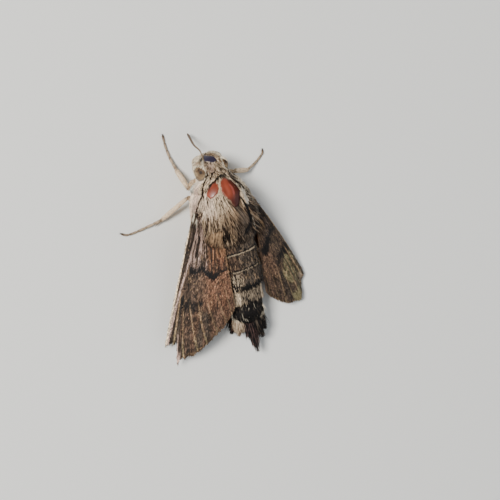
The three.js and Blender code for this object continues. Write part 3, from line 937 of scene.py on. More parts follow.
        # The head: cream, mixed with brown over the crown, whitish below and beside the eyes.
        clumps = 0.8 * ramp(b, 6.2, 0.3) * (noise(t * 0.4, b * 4, 2) > 0.42)
        rosy = 0.6 * band(t, 108, 10, 8) * band(b, 5.3, 0.5, 0.3)
        crown = layered(
            CREAM,
            (BROWN * 0.7, fade(fine, 0.5, 0.1)),
            (PINK_CREAM * (0.5 + 0.6 * chance)[..., None], rosy),
            (BROWN * (0.3 + 1.3 * chance)[..., None], clumps),
            (BROWN * 0.7, 0.85 * self.spot(b, t, 5.4, 112, 1.9, 0.24) * (chance > 0.35)),
            (DARK, 0.6 * band(t, 62, 16, 8) * fade(fine, 0.62, 0.1)),
            (DARK, 0.8 * ramp(noise(t * 0.16, b * 2.6, 12), 0.62, 0.06) * (chance < 0.75)),
        )
        light = band(t, 131, 5, 4) * band(b, 5.4, 0.9, 0.3) + band(t, 168, 24, 8) * ramp(b, 4, 0.4)
        light = light + band(t, 32, 16, 10) * ramp(b, 4.3, 0.4)
        thorax = layered(
            thorax,
            (crown, ramp(b, 3.6, 0.4) * band(t, 85, 45, 15)),
            (IVORY, 0.7 * ramp(b, 4, 0.5) * below),
            (IVORY, light * (0.2 + 0.8 * ramp(fine, 0.3, 0.1))),
            (TAN * 0.75, 0.85 * ramp(b, 3.9, 0.5) * fade(chance, 0.3, 0.06)),
            (TAN * (0.6 + 0.7 * chance)[..., None], 0.7 * self.spot(b, t, 5.95, 152, 1.6, 0.42)),
        )
        # The abdomen: grey-brown, rosier to the left, with lighter and darker scales.
        abdomen = blend(GREY_BROWN, WING_BROWN * 0.9, 0.55 * band(t, 125, 30, 15))
        abdomen = layered(
            abdomen * (0.06 + ramp(fine, 0.3, 0.42))[..., None],
            (BLACK * 1.5, 0.8 * fade(chance, 0.2, 0.05) * fade(b, -7.5, 1.5)),
            (TAN * 1.2, 0.5 * ramp(chance, 0.88, 0.06)),
            (CREAM * 0.75, 0.55 * below),
        )
        above = ramp(np.sin(np.radians(t)), 0.2, 0.3)
        mottled = band(b, -10.6, 0.9, 0.4) * band(t, 112, 14, 16)
        specks = 0.3 * noise(t * 0.3, b * 3, 8) + 0.7 * chance
        jag = 0.22 * (noise(t * 0.22, b * 0, 11) - 0.5)
        ashen = layered(
            GREY_BROWN * 0.75,
            (CREAM * 0.34, ramp(fine, 0.52, 0.1)),
            (BLACK * 1.5, fade(chance, 0.3, 0.08)),
            (CREAM * (0.45 + 0.6 * chance)[..., None], band(t, 120, 9, 8) + 1.3 * band(t, 16, 14, 8)),
        )
        dusky = blend(BLACK * 1.3, GREY_BROWN * 0.6, ramp(chance, 0.8, 0.05))
        # The bare horn: right of the ridge it is darker, partly its own deep red and partly painted shade on
        # the side turned from the light; the pink band beside the ridge is a painted highlight.
        ridge = through([-0.5, 0.5, 1.3, 2.1, 2.8], [76, 71, 66, 64, 67], b)
        plate = layered(
            CUTICLE * (0.7 + 0.5 * noise(t * 0.12, b * 1.6, 22))[..., None],
            (CUTICLE * 0.32, smooth((ridge - t) / 2.5)),
            (CUTICLE_DEEP, smooth((ridge - 5 - t) / 6)),
            (colour(176, 92, 84), 0.6 * band(t, ridge + 1.5, 1.4, 1.6) * band(b, 1.9, 0.5, 0.4)),
            (CUTICLE_DEEP, 0.85 * fade(b, 1.5, 1.3)),
        )
        return layered(
            blend(abdomen, thorax, ramp(b, -5.9, 1.8)),
            # Thin black lines at two segments; black and cream mottling, a pale band, the black end.
            (BLACK, self.seams(b, t)),
            (np.where((specks > 0.56)[..., None], CREAM * 0.7, BLACK * 2), 0.8 * mottled),
            (BLACK, above * band(b + jag, -11.45, 0.16, 0.12) * fade(t, 110, 15)),
            (ashen, band(b + jag, -12.7, 0.8, 0.25)),
            (dusky, smooth((-13.65 - jag * 1.6 - b) / 0.16) * (1 - 0.55 * below)),
            (IVORY * 0.6, ramp(chance, 0.975, 0.01) * fade(b, -13.6, 0.2)),
            # Bare plates, gaps and hollows.
            (plate, self.bare(b, t)),
            (CROWN_PLATE, self.crown(b, t)),
            # Painted shade: the gap behind the collar and the hollow beside the crown plate are painted
            # black.
            (BLACK, 0.95 * np.maximum(self.gap(b, t), self.pits(b, t))),
            # Painted shade: the partings are painted black.
            (BLACK * 2, 0.9 * self.partings(b, t)),
        )

    # ---- pieces
    def places(self) -> tuple[Array, Array]:
        """b and t on a grid: rows from the tail to the face, columns round the body."""
        s = np.linspace(POLE_GAP, 1 - POLE_GAP, self.rows)
        return tuple(np.meshgrid(self.station(s), 360 * np.linspace(0, 1, self.around + 1), indexing="ij"))

    def ground(self) -> Ground:
        """The skin as a grid."""
        b, t = self.places()
        return Ground(self.point(b, t, self.lift(b, t)))

    def skin(self) -> Shape:
        """The one skin, closed by a point at each pole.

        Formula: the ground's grid with its first and last columns as one, and the poles added.

        Returns:
            The closed skin.
        """
        poles = np.array([[self.tail_tip, self.head_tip], [0, 0]])
        b, t = (np.append(place[:, :-1], pole) for place, pole in zip(self.places(), poles))
        points = np.concatenate([self.ground().grid[:, :-1].reshape(-1, 3), self.point(*poles)])
        quads, triangles = ring_faces(self.rows, self.around, len(points) - 2, len(points) - 1)
        bare = np.maximum(self.bare(b, t), self.crown(b, t))
        # Painted shade: the skin round the eyes is darkened where they meet the head.
        rim = fade(self.near_eye(points), 1.25, 0.1)
        tint = blend(self.marks(b, t, np.full(b.shape, 0.5)), DARK, 0.8 * rim)
        # Painted shade: skin under the coat is a darker copy of the coat's colours; bare plates keep theirs.
        shade = np.where(bare > 0.5, 1, 0.7)[:, None]
        return Shape(points, quads, triangles).painted(tint=tint * shade, bare=bare).outward()

    def length(self, b: Array, t: Array) -> Array:
        """How long a tuft is: short on the face, long behind the shoulders, short at the left wing.

        Args:
            b: place along the body.
            t: angle round it in degrees.

        Returns:
            Lengths in millimetres.
        """
        size = through(
            [-17.3, -15.6, -13, -9, -6, -4.5, -3, -1, 0.6, 1.6, 2.6, 3.7, 4.6, 6.8],
            [1.3, 1.2, 0.9, 0.65, 0.7, 1.4, 2.1, 2.5, 2, 1.2, 0.85, 0.62, 0.45, 0.38], b,
        )
        below = ramp(np.sin(np.radians(-t)), 0.1, 0.5)
        strip = band(t, 90, 12, 3) * band(b, 2.2, 1, 0.3)
        root = band(t, 154, 18, 5) * ramp(b, -4.4, 0.8)
        size = size - root * (size - np.clip(b + 0.1, 0.35, size))
        return size * (1 - 0.35 * below) * (1 - 0.6 * strip)

    def cut_short(self, b: Array, t: Array, size: Array, aside: Array) -> Array:
        """Lengths that end before bare plates, gaps and seams.

        Formula: a tuft is tried at eight steps along its length, and ends at the first one that
        would lie over open skin.

        Args:
            b: place of the roots along the body.
            t: their angle round it in degrees.
            size: the full lengths.
            aside: the angle, in radians, that each tuft leans away from the body's line.

        Returns:
            The lengths.
        """
        share = np.ones(b.shape)
        for step in np.linspace(1, 0.125, 8):
            far = size * step
            over = self.open_skin(b - far * np.cos(aside), t + np.degrees(far * np.sin(aside) / GIRTH)) > 0.4
            share = np.where(over, step - 0.08, share)
        return size * share

    def coat(self, zone: Zone, ground: Ground, rng: Rng) -> Shape:
        """The tufts of one zone.

        Formula: places are scattered by area, none on bare plates, gaps and eyes; each tuft lies
        backwards, fanned out from the middle of the back, and rises more behind the shoulders.

        Args:
            zone: the part of the trunk.
            ground: the skin.
            rng: the source of chance.

        Returns:
            The tufts as one shape.
        """
        rows, columns = (size - 1 for size in ground.grid.shape[:2])
        s = (np.arange(rows) + 0.5) / rows * (1 - 2 * POLE_GAP) + POLE_GAP
        b, t = np.meshgrid(self.station(s), (np.arange(columns) + 0.5) / columns * 360, indexing="ij")
        low = np.mod(t - zone.low, 360) + zone.low
        inside = (b > zone.back) & (b < zone.front) & (low < zone.high)
        centre = (ground.grid[:-1, :-1] + ground.grid[1:, 1:]) / 2
        weight = ground.area() * inside * (self.open_skin(b, t) < 0.35) * (self.near_eye(centre) > 1.1)
        weight = weight / np.sqrt(self.length(b, t) + 0.2) * (1 + 0.6 * (np.sin(np.radians(t)) > -0.2))
        u, v = scattered(weight, zone.count, rng)
        root, normal, forward = ground.at(u, v)
        b, t = self.station(u * (1 - 2 * POLE_GAP) + POLE_GAP), 360 * v
        chance = rng.random(zone.count)
        back = fade(b, 1.6, 2) * ramp(b, -6.5, 3)
        fan = np.clip((t - 98) / 42, -1.2, 1.2) * (t < 200) * (20 * back + 16 * ramp(b, 2.6, 0.8))
        fan = fan * (1 + 0.5 * back * (t < 98))
        aside = np.radians(fan + rng.normal(0, 7, zone.count))
        lie = -forward * np.cos(aside)[:, None] + np.cross(forward, normal) * -np.sin(aside)[:, None]
        over = back * band(t, 95, 75, 20)
        eye = fade(self.near_eye(root), 1.45, 0.2)
        size = self.length(b, t) * (0.75 + 0.5 * rng.random(zone.count)) * (1 - 0.35 * eye)
        size = self.cut_short(b, t, size, aside)
        width = through([-17.3, -9, -4, 0, 2.5, 3.7, 6.8], [0.12, 0.14, 0.105, 0.095, 0.095, 0.085, 0.065], b)
        tint = blend(self.marks(b, t, chance), IVORY, 0.75 * eye * (chance > 0.3))
        width = width * (0.7 + 0.6 * rng.random(zone.count))
        tint = tint * (0.55 + 0.8 * rng.random(zone.count))[:, None]
        rise = 0.13 + 0.16 * over + 0.17 * ramp(b, 3.6, 1) + 0.2 * ramp(b, 5.6, 0.6)
        stand = 0.3 + 1.4 * rng.random(zone.count)
        droop = (0.09 + 0.13 * over) * np.maximum(stand, 1)
        return ground.grow((u, v), size, width, tint, rng, lie=lie, rise=rise * stand, droop=droop, sway=0.06,
                           thick=0.32)

    def flank_tuft(self, side: int, ground: Ground, rng: Rng, count: int = 110) -> Shape:
        """The white tuft that stands out on a flank before the tail fan.

        Args:
            side: -1 for left, 1 for right.
            ground: the skin.
            rng: the source of chance.
            count: how many blades.

        Returns:
            The tuft.
        """
        v = (0.04 if side > 0 else 0.46) + rng.normal(0, 0.014, count)
        u = 0.085 + 0.045 * rng.random(count)
        v = np.mod(v, 1)
        _, normal, forward = ground.at(u, v)
        tint = np.where((rng.random(count) < 0.8)[:, None], IVORY, GREY_BROWN)
        size, rise = 0.7 + 0.9 * rng.random(count), 0.5 * rng.random(count)
        return ground.grow((u, v), size, 0.08, tint, rng, lie=-forward + normal * 0.45, sway=0.2, rise=rise,
                           droop=0.1, shade=0.3)

    def stroke(self, line: "Stroke", rng: Rng) -> Shape:
        """Tufts laid over the coat along a curve.

        Formula: each stands at a chance place on a smooth curve through the named points, and lies
        along the curve, or straight back.

        Args:
            line: the curve and its tufts' looks.
            rng: the source of chance.

        Returns:
            The tufts as one shape.
        """
        steps = np.arange(len(line.path))
        x = rng.random(line.count) * steps[-1]
        (b, t), (b0, t0), (b1, t1) = (through(steps, line.path, x + d).T for d in (0, -0.05, 0.05))
        b = b + rng.normal(0, line.spread, line.count) * line.back
        t = t + np.degrees(rng.normal(0, line.spread, line.count) / GIRTH)
        root = self.point(b, t, line.lift)
        out = unit(self.point(b, t, line.lift + 0.5) - root)
        if line.back:
            ahead = self.point(b - 0.1, t) - self.point(b, t)
        else:
            ahead = self.point(b1, t1) - self.point(b0, t0)
        s = np.linspace(0, 1, 400)
        place = np.stack([np.mod(t, 360) / 360, np.interp(b, self.station(s), s)], -1) * 0.98 + 0.01
        tint = line.tint * (0.6 + 0.8 * rng.random(line.count))[:, None]
        length = line.length * (0.7 + 0.6 * rng.random(line.count))
        width = min(0.1, 0.04 + 0.5 * line.spread)
        sway = rng.normal(0, 0.06, line.count)
        return Tufts(root, out, ahead, length, width, tint, place, 0.03, 0.05, sway, shade=0.2).shape()

    def build(self, finishes: "Finishes") -> None:
        """Makes the skin and its coats.

        Args:
            finishes: the moth's finishes.
        """
        flesh = ["head", "collar", "thorax", "waist"] + [f"abdomen_{k}" for k in range(1, 7)]
        flesh += [f"{part}_{side.word}" for part in ("tegula", "palp") for side in Side]
        palps = [Palp(side) for side in Side]
        skin = Shape.joined([self.skin()] + [palp.skin() for palp in palps])
        skin.build("skin", finishes.skin, "fur", *flesh)
        ground = self.ground()
        for number, zone in enumerate(self.zones):
            coat = self.coat(zone, ground, np.random.default_rng(100 + number))
            coat.build(zone.name, finishes.coat, zone.slot)
        rng = np.random.default_rng(120)
        tufts = [self.flank_tuft(side.value, ground, rng) for side in Side]
        Shape.joined(tufts).build("coat_flank_tufts", finishes.coat, "tail")
        Shape.joined([self.stroke(line, rng) for line in STROKES]).build("coat_strands", finishes.coat, "fur")
        Shape.joined([palp.coat(rng) for palp in palps]).build("coat_palps", finishes.coat, "fur")


TRUNK = Trunk()


@dataclass(frozen=True)
class Stroke:
    """Dark or pale tufts along a curve on the trunk, from front to back."""

    path: tuple  # (b, t)
    spread: float
    length: float
    count: int
    tint: Array
    lift: float = 0.1
    back: bool = False  # whether they lie straight back


# The dark strokes that follow the partings are partly dark hair and partly painted shade in the partings.
STROKES = (
    Stroke(((5, 123), (4.66, 125), (3.76, 137), (3.2, 134), (2.6, 132), (2, 134), (1.3, 139)),
           0.04, 0.6, 170, BROWN * 0.5),
    Stroke(((1.6, 137), (0.6, 144), (-0.3, 151), (-1.9, 166)), 0.05, 0.7, 90, BROWN * 0.5, 0.25),
    Stroke(((4.9, 80), (4.52, 75), (3.83, 51), (3.07, 37), (2.5, 30)), 0.08, 0.5, 36, DARK),
    Stroke(((4.1, 78), (3.69, 69), (3.1, 51), (2.5, 44)), 0.06, 0.4, 40, DARK),
    Stroke(((4.6, 100), (4.3, 112), (3.9, 120)), 0.16, 0.3, 16, DARK),
    Stroke(((6.72, 119), (6.76, 104), (6.66, 84), (6.4, 64), (6, 56)), 0.1, 0.22, 70, DARK, 0.06),
    Stroke(((5.9, 50), (5.5, 38), (5.1, 26), (4.8, 16)), 0.2, 0.55, 210, IVORY, 0.26),
    Stroke(((3.4, 44), (2.65, 43), (1.85, 37), (0.95, 37), (-0.23, 34), (-1.4, 36)),
           0.05, 0.7, 64, DARK, 0.15),
    Stroke(((0.7, 59), (0.3, 57), (-0.3, 55)), 0.05, 0.6, 30, BLACK, 0.25),
    Stroke(((-0.1, 56), (-1.6, 52), (-2.65, 51), (-3.3, 55), (-3.8, 62)), 0.09, 1, 130, BLACK, 0.4),
    Stroke(((1.9, 46), (0.3, 47), (-1.2, 42), (-2.8, 41)), 0.12, 1.3, 70, colour(186, 178, 166), 0.4),
    Stroke(((3.2, 24), (2, 24), (0.6, 20), (-0.8, 20)), 0.3, 1, 90, colour(200, 188, 168), 0.2),
    Stroke(((3.3, 86), (2.7, 89), (2.1, 93), (1.6, 97)), 0.08, 0.22, 80, CREAM * 0.8, 0),
    Stroke(((2.2, 57), (1.6, 63), (1.2, 70)), 0.03, 0.5, 3, TAN, 0.02),
    Stroke(((-6.88, 158), (-6.88, 120), (-6.86, 80), (-6.86, 30)), 0.05, 0.18, 260, CREAM * 0.5, 0, True),
    Stroke(((-9.36, 112), (-9.36, 80), (-9.36, 30)), 0.05, 0.16, 140, CREAM * 0.4, 0, True),
)


def ninth(number: int) -> tuple:
    """One of nine equal patches of the bake map, for Ground.grow."""
    return 0.02 + 0.33 * (number % 3), 0.02 + 0.33 * (number // 3), 0.3, 0.3


def tube_ground(shape: Shape) -> Ground:
    """A tube's rings as ground for tufts, the first column repeated at the end.

    Args:
        shape: a tube, with its places along and around.

    Returns:
        The ground.
    """
    around = int(np.argmax(shape.values["along"] > 0))
    grid = shape.points[:-2].reshape(-1, around, 3)
    centre = grid[len(grid) // 2].mean(axis=0)
    return Ground(np.concatenate([grid, grid[:, :1]], axis=1)).facing(centre)


@dataclass(frozen=True)
class Palp:
    """A fat scaly lobe that curves up in front of the face."""

    side: Side
    path: tuple = (
        (0.7, 4.6, -2.05), (0.82, 5.2, -1.95), (0.92, 5.8, -1.45), (0.95, 6.1, -0.8), (0.9, 6.2, -0.1),
    )
    radii: tuple = (0.22, 0.52, 0.68, 0.58, 0.2)
    rings: int = 30
    around: int = 24
    count: int = 1300

    def tube(self) -> Shape:
        """The lobe's skin: a smooth tube through the named points.

        Returns:
            The tube.
        """
        x = np.linspace(0, 1, self.rings)
        stations = np.linspace(0, 1, len(self.path))
        path = through(stations, np.array(self.path), x) * np.array([self.side.value, 1, 1])
        radius = through(stations, self.radii, x)
        return tube(TRUNK.on_head(*path), radius, self.around, up=TRUNK.head_right())

    def skin(self) -> Shape:
        """The lobe's skin, cream, darker than its scales as painted shade.

        Returns:
            The closed skin.
        """
        return self.tube().painted(tint=CREAM * 0.7, bare=0)

    def coat(self, rng: Rng) -> Shape:
        """Short scales that point up the lobe and bristle at its end.

        Args:
            rng: the source of chance.

        Returns:
            The scales as one shape.
        """
        ground = tube_ground(self.tube())
        places = scattered(ground.area(), self.count, rng)
        tint = blend(IVORY, TAN, fade(rng.random(self.count), 0.3, 0.1))
        patch = (0.02 if self.side is Side.LEFT else 0.52, 0.02, 0.44, 0.94)
        size = 0.3 + 0.2 * rng.random(self.count)
        return ground.grow(places, size, 0.08, tint, rng, patch, rise=0.25, droop=0.1)


# ---- wings
UPPER_PATCH = (0.01, 0.02, 0.48, 0.96)  # a wing's upper side on the bake map: left, low, wide, high
UNDER_PATCH = (0.51, 0.02, 0.48, 0.96)
FAR = 1000.0  # further than the moth is long
SPAN = 20.0  # about how many millimetres a forewing measures from root to margin
BESIDE = [20, 0]  # from the upper side to the lower one on the map of the scales


def wing_shape(top: Array, under: Array, tint: Array, place: Array) -> Shape:
    """A wing's closed sheet.

    Args:
        top: (rows, columns, 3) upper side.
        under: the lower side in the same order.
        tint: the colours of the corners, upper ones first.
        place: each upper corner's place on the map in millimetres; the lower side's lies beside it.

    Returns:
        The shape.
    """
    points, quads = sheet(top, under)
    place = place.reshape(-1, 2)
    return Shape(points, quads, place=np.concatenate([place, place + BESIDE])).painted(tint=tint).outward()


@dataclass(frozen=True)
class Pattern:
    """Where a forewing's markings lie: r from root to margin, q from leading to hind edge."""

    band: tuple  # the black middle band: (q, r) from the leading edge back
    second: tuple  # the broken line beyond it, in the same way
    second_to: float  # the q where the second line ends
    veins: tuple  # q of each vein where it leaves the cell and at the margin
    streak: tuple  # (r, q) of the pale streak inside the leading edge
    spots: tuple  # (r, q, size in mm, darkness)
    pale_dot: tuple  # (r, q) of the black dot in its pale loop
    warm: float  # 1 for rosy brown, 0 for grey
    olive: float  # how green the outer third is


@dataclass(frozen=True)
class Forewing:
    """A forewing as a fan of straight lines from the root to the outer margin, thin and ribbed."""

    side: Side
    root: tuple
    margin: tuple  # outer margin from apex to hind corner: (q, x, y, z)
    bulge: tuple  # how far the leading edge bows out
    hollow: tuple  # how far the hind edge bows
    camber: float
    torn: float  # 1 where the tip is torn away in front
    pattern: Pattern
    clearance: float = 0.45
    pleats: float = 4.5
    pleat_depth: float = 0.14
    half_thickness: float = 0.07
    rows: int = 170
    columns: int = 120
    above: int = 5600  # scales standing up on the upper side
    beneath: int = 2000
    root_hairs: int = 2300
    fringe_scales: int = 1000

    def normal(self) -> Array:
        """The unit vector out of the upper side.

        Returns:
            The vector.
        """
        start = np.array(self.root[0])
        n = unit(np.cross(np.array(self.margin[0][1:]) - start, np.array(self.margin[-1][1:]) - start))
        return n if n[2] > 0 else -n

    def draped(self, points: Array) -> Array:
        """Lifts points clear of the trunk behind the shoulder.

        Args:
            points: points in the moth's own frame.

        Returns:
            The points, moved out where they were too near.
        """
        p = TRUNK.to_body(points)
        half, above, below, middle = TRUNK.section(np.maximum(p[..., 1], TRUNK.tail_dome))
        grow = -1.5 + (self.clearance + 1.5) * fade(p[..., 1], -0.4, 4)
        high = p[..., 2] - middle
        depth = np.hypot(p[..., 0] / (half + grow), high / (np.where(high > 0, above, below) + grow))
        out = 1 / np.clip(depth, 1e-3, 1)
        return TRUNK.to_model(np.stack([p[..., 0] * out, p[..., 1], middle + high * out], axis=-1))

    def mid(self, r: Array, q: Array) -> Array:
        """The middle surface.

        Formula: a straight line from the root to the margin, bowed at its two edges, arched by a
        sine across the wing and pleated towards the margin; near the trunk it lies over the body.

        Args:
            r: 0 at the root to 1 at the margin.
            q: 0 at the leading edge to 1 at the hind edge.

        Returns:
            The points.
        """
        worn = self.torn * (0.1 + 0.4 * q) * (1 - ramp(q, 0.12, 0.04))
        reach = (r * (1 - worn))[..., None]
        rim = np.array(self.margin)
        first, last = np.array(self.root)
        p = (first + (last - first) * q[..., None]) * (1 - reach) + through(rim[:, 0], rim[:, 1:], q) * reach
        arch = np.sin(math.pi * np.clip(reach, 0, 1))
        reach = reach[..., 0]
        pleat = self.pleat_depth * ramp(reach, 0.35, 0.5) * smooth(q / 0.1)
        pleat = pleat * np.sin(2 * math.pi * self.pleats * (q - 0.04))
        high = self.camber * np.sin(math.pi * q) * np.sqrt(np.maximum(reach, 0)) + pleat
        p = p + np.array(self.bulge) * arch * ((1 - q) ** 3)[..., None]
        p = p + np.array(self.hollow) * arch * (q**3)[..., None] + self.normal() * high[..., None]
        return self.draped(p)

    def vein(self, r: Array, q: Array) -> Array:
        """1 along the veins of the outer third, fading into the cell.

        Args:
            r: 0 to 1 from root to margin.
            q: 0 to 1 from the leading edge to the hind one.

        Returns:
            How much of a vein, 0 to 1.
        """
        ribs = np.zeros(np.broadcast(r, q).shape)
        for inner, outer in self.pattern.veins:
            line = inner + (outer - inner) * (r - 0.66) / 0.34
            ribs = np.maximum(ribs, band(q, line, 0.003, 0.01))
        return ribs * ramp(r, 0.6, 0.14)

    def marks(self, r: Array, q: Array, chance: Array) -> Array:
        """The upper side's colours.

        Formula: a streaked inner field, a rosy middle one and a dark ribbed outer one meet at the
        black band and the broken second line; spots, streaks and edges are laid over them.

        Args:
            r: 0 at the root to 1 at the margin.
            q: 0 at the leading edge to 1 at the hind edge.
            chance: 0 to 1 for each place.

        Returns:
            Linear colours.
        """
        p = self.pattern
        lines = noise(q * 40 + 3 * noise(r * 9, q * 4, 30), r * 4.5, 4)
        fleck = 0.35 * chance + 0.65 * noise(q * 44, r * 66, 2)
        blotch = noise(q * 11, r * 15, 17)
        hind = ramp(q, 0.34, 0.3)
        # The inner field: grey in front with rosy streaks, rust and golden streaks behind.
        inner = layered(
            WING_GREY * (0.85 + 0.3 * p.warm),
            (RUST, hind * p.warm**1.5),
            (ORANGE, p.warm * ramp(lines, 0.55, 0.1) * hind * (0.22 + 0.34 * fade(r, 0.4, 0.12))),
            (PINK_CREAM * 0.8, 0.85 * p.warm * ramp(lines, 0.5, 0.1) * band(q, 0.29, 0.17, 0.08)),
            (DARK, fade(lines, 0.46, 0.08) * (0.9 - 0.1 * hind)),
        )
        # The middle field: rosy brown, greyer in front.
        rosy = (0.25 + 0.75 * hind) * p.warm**0.7
        middle = blend(WING_GREY * (1.2 + 0.1 * p.warm), WING_BROWN * 1.1, rosy)
        middle = blend(middle, DARK * 1.3, 0.6 * band(q, 0.19, 0.05, 0.04) * band(r, 0.55, 0.06, 0.05))
        # The outer field: dark, with pale ribs.
        streaks = smooth(noise(q * 46, r * 7, 6) * 2.2 - 0.5)
        edge = through([0.55, 0.62, 0.74, 0.86, 1], [0.28, 0.34, 0.52, 0.4, 0.36], r)
        edge = edge + 0.08 * (noise(r * 9, q * 9, 15) - 0.5)
        rubbed = ramp(q, 0.06, 0.05) * smooth((edge - q) / 0.08) * (1 - 0.55 * ramp(r, 0.84, 0.08))
        outer = layered(
            WING_GREY * 1.2,
            (DARK * 1.3, 0.6 * noise(q * 24, r * 9, 7)),
            (WING_BROWN * 0.9, (0.1 + 0.45 * p.warm) * ramp(q, 0.5, 0.3)),
            (WING_BROWN, 0.35 * p.warm * smooth(noise(q * 26, r * 4, 27) * 2.4 - 0.8)),
            (OLIVE, p.olive * rubbed * (0.2 + 0.8 * streaks)),
        )
        line = through(*zip(*p.band), q) + 0.012 * (noise(q * 34, q * 0, 1) - 0.5)
        beyond = through([0, 0.3, 0.45, 0.7, 1], [0.71, 0.67, 0.69, 0.76, 0.8], q)
        beyond = beyond + 0.05 * (noise(q * 12, r * 6, 3) - 0.5)
        tint = blend(inner, middle, smooth((r - line) / 0.02))
        tint = blend(tint, outer, smooth((r - beyond + 0.05 * p.olive) / 0.06))
        # Pale freckles: partly pale scales, partly painted glints.
        freckles_and_glints = ramp(0.5 * chance + 0.5 * noise(q * 38, r * 62, 41), 0.72, 0.08)
        # The black band and the second line, with the dark smear inside the band.
        half = through([0, 0.2, 0.35, 0.5, 0.65, 0.8, 1], [0.012, 0.018, 0.011, 0.02, 0.026, 0.012, 0.006], q)
        half = half * (1 + 0.8 * p.olive * band(q, 0.55, 0.15, 0.1))
        second = through(*zip(*p.second), q) + 0.01 * (noise(q * 40, q * 0, 9) - 0.5)
        second = band(r, second, 0.022 + 0.018 * fade(q, 0.24, 0.08), 0.014)
        second = second * band(q, p.second_to / 2 + 0.03, p.second_to / 2 - 0.03, 0.04)
        tint = layered(
            tint * (0.08 + 1.35 * ramp(fleck, 0.28, 0.46) + 0.5 * blotch)[..., None],
            (TAN, 0.5 * freckles_and_glints * band(r, 0.5, 0.2, 0.2)),
            (DARK * 1.2, 0.55 * smooth((r - line + 0.13) / 0.13) * (r < line)),
            (BLACK, band(r, line, half, 0.009) * ramp(q, 0.09, 0.04)),
            (BLACK, second * (1 - 0.9 * np.abs(q - p.second[1][0]))),
        )

        def apart(r0: float, q0: float) -> Array:
            """About how many millimetres lie between a place and (r0, q0)."""
            return np.hypot((r - r0) * SPAN, (q - q0) * (3.2 + 8.5 * r))

        for r0, q0, radius, darkness in p.spots:
            spot = smooth((radius - apart(r0, q0)) / (radius * 0.6) + 0.4)
            tint = blend(tint, BLACK * 1.5, darkness * spot)
        dot = apart(*p.pale_dot)
        ribs = self.vein(r, q) * (0.45 + 0.55 * fade(q, 0.7, 0.3)) * (0.65 + 0.5 * noise(q * 30, r * 16, 14))
        reach = ramp(r, 0.16, 0.12)
        tint = layered(
            tint,
            (TAN * 0.7, 0.7 * band(dot, 0.34, 0.03, 0.08) * smooth((p.pale_dot[0] - r) * 60 + 0.6)),
            (BLACK, fade(dot, 0.2, 0.1)),
            (blend(TAN * 0.85, OLIVE, 0.6 * ramp(r, 0.85, 0.1)), 0.95 * ribs),
            (DARK, 0.8 * band(q, 0.048, 0.016, 0.012) * reach),
        )
        if p.streak:
            pale = through(*zip(*p.streak), r)
            tint = blend(tint, PINK_CREAM, 0.85 * band(q, pale, 0.009, 0.01) * ramp(r, 0.08, 0.08))
        # The rim, the worn margin, and the pale rag at the tip.
        worn = ramp(r, 0.982, 0.012) * ramp(q, 0.2, 0.05) * noise(q * 26, q * 0, 18)
        return layered(
            tint,
            (TAN * 0.8 + (CREAM - TAN * 0.8) * p.warm, reach * fade(q, 0.028, 0.012)),
            (TAN * 0.9, 0.6 * worn),
            (PINK_CREAM * 0.9, p.warm * band(q, 0.165, 0.03, 0.02) * ramp(r, 0.93, 0.03)),
            (CREAM * 0.8, smooth(p.warm * 5 - 4) * fade(q, 0.17, 0.05) * fade(r, 0.13, 0.04)),
            (OLIVE * 1.35, 0.7 * p.olive * band(q, 0.4, 0.07, 0.05) * ramp(r, 0.9, 0.05)),
        )

    def under_marks(self, r: Array, q: Array, chance: Array) -> Array:
        """The underside: rusty brown, tawny at the root, greyer at the margin.

        Args:
            r: 0 to 1 from root to margin.
            q: 0 to 1 from the leading edge to the hind one.
            chance: 0 to 1 for each place.

        Returns:
            Linear colours.
        """
        tint = blend(RUST * 1.2, TAWNY * 0.8, fade(r, 0.45, 0.3))
        tint = blend(tint, WING_GREY, np.maximum(ramp(r, 0.8, 0.12), ramp(q, 0.9, 0.05)))
        return tint * (0.75 + 0.5 * chance)[..., None]

    def grids(self, rows: int, columns: int) -> tuple[Array, Array, Array, Array]:
        """r, q, and the upper and lower sides on a grid.

        Formula: the middle surface, moved out by half the thickness, which thins towards the edges;
        veins stand up on it, and the margin is nicked by a noise.

        Args:
            rows: how many from root to margin.
            columns: how many from leading to hind edge.

        Returns:
            r, q, the upper side and the lower side.
        """
        r, q = np.meshgrid(np.linspace(0, 1, rows), np.linspace(0, 1, columns), indexing="ij")
        nick = 0.018 * noise(q * 55, q * 0, 12) ** 2
        nick = nick + 0.02 * self.torn * band(q, 0.2, 0.08, 0.05) * noise(q * 90, q * 0, 13)
        mid = self.mid(r * (1 - nick), q)
        edge = np.minimum.reduce([(1 - r) * SPAN, q * 8, (1 - q) * 8])
        half = self.half_thickness * (0.35 + 0.65 * smooth(edge / 0.5)) + 0.05 * band(q, 0.012, 0.01, 0.02)
        n = self.normal()
        high = half + 0.035 * self.vein(r, q)
        return r, q, mid + n * high[..., None], mid - n * half[..., None]

    def surface(self) -> Shape:
        """The wing's closed sheet, with its colours and a map of its own in millimetres.

        Returns:
            The sheet.
        """
        r, q, top, under = self.grids(self.rows, self.columns)
        grain = noise(q * 70, r * 120, 20)
        tint = np.concatenate([side(r, q, grain).reshape(-1, 3) for side in (self.marks, self.under_marks)])
        return wing_shape(top, under, tint, np.stack([q * 9, r * SPAN], -1))

    def coat(self, rng: Rng) -> Shape:
        """Scales and hairs: raised scales on both sides, hair over the root, and the fringe.

        Args:
            rng: the source of chance.

        Returns:
            The scales and hairs as one shape.
        """
        r, _, top, under = self.grids(90, 60)
        far = FAR * self.normal()
        upper, lower = Ground(top).facing(-far), Ground(under).facing(far)
        pieces = []
        for ground, count, patch, tinter in (
            (upper, self.above, UPPER_PATCH, self.marks),
            (lower, self.beneath, UNDER_PATCH, self.under_marks),
        ):
            u, v = scattered(ground.area() * (r[:-1, :-1] > 0.06), count, rng)
            chance = rng.random(count)
            size, width = 0.3 + 0.25 * rng.random(count), 0.09 + 0.06 * rng.random(count)
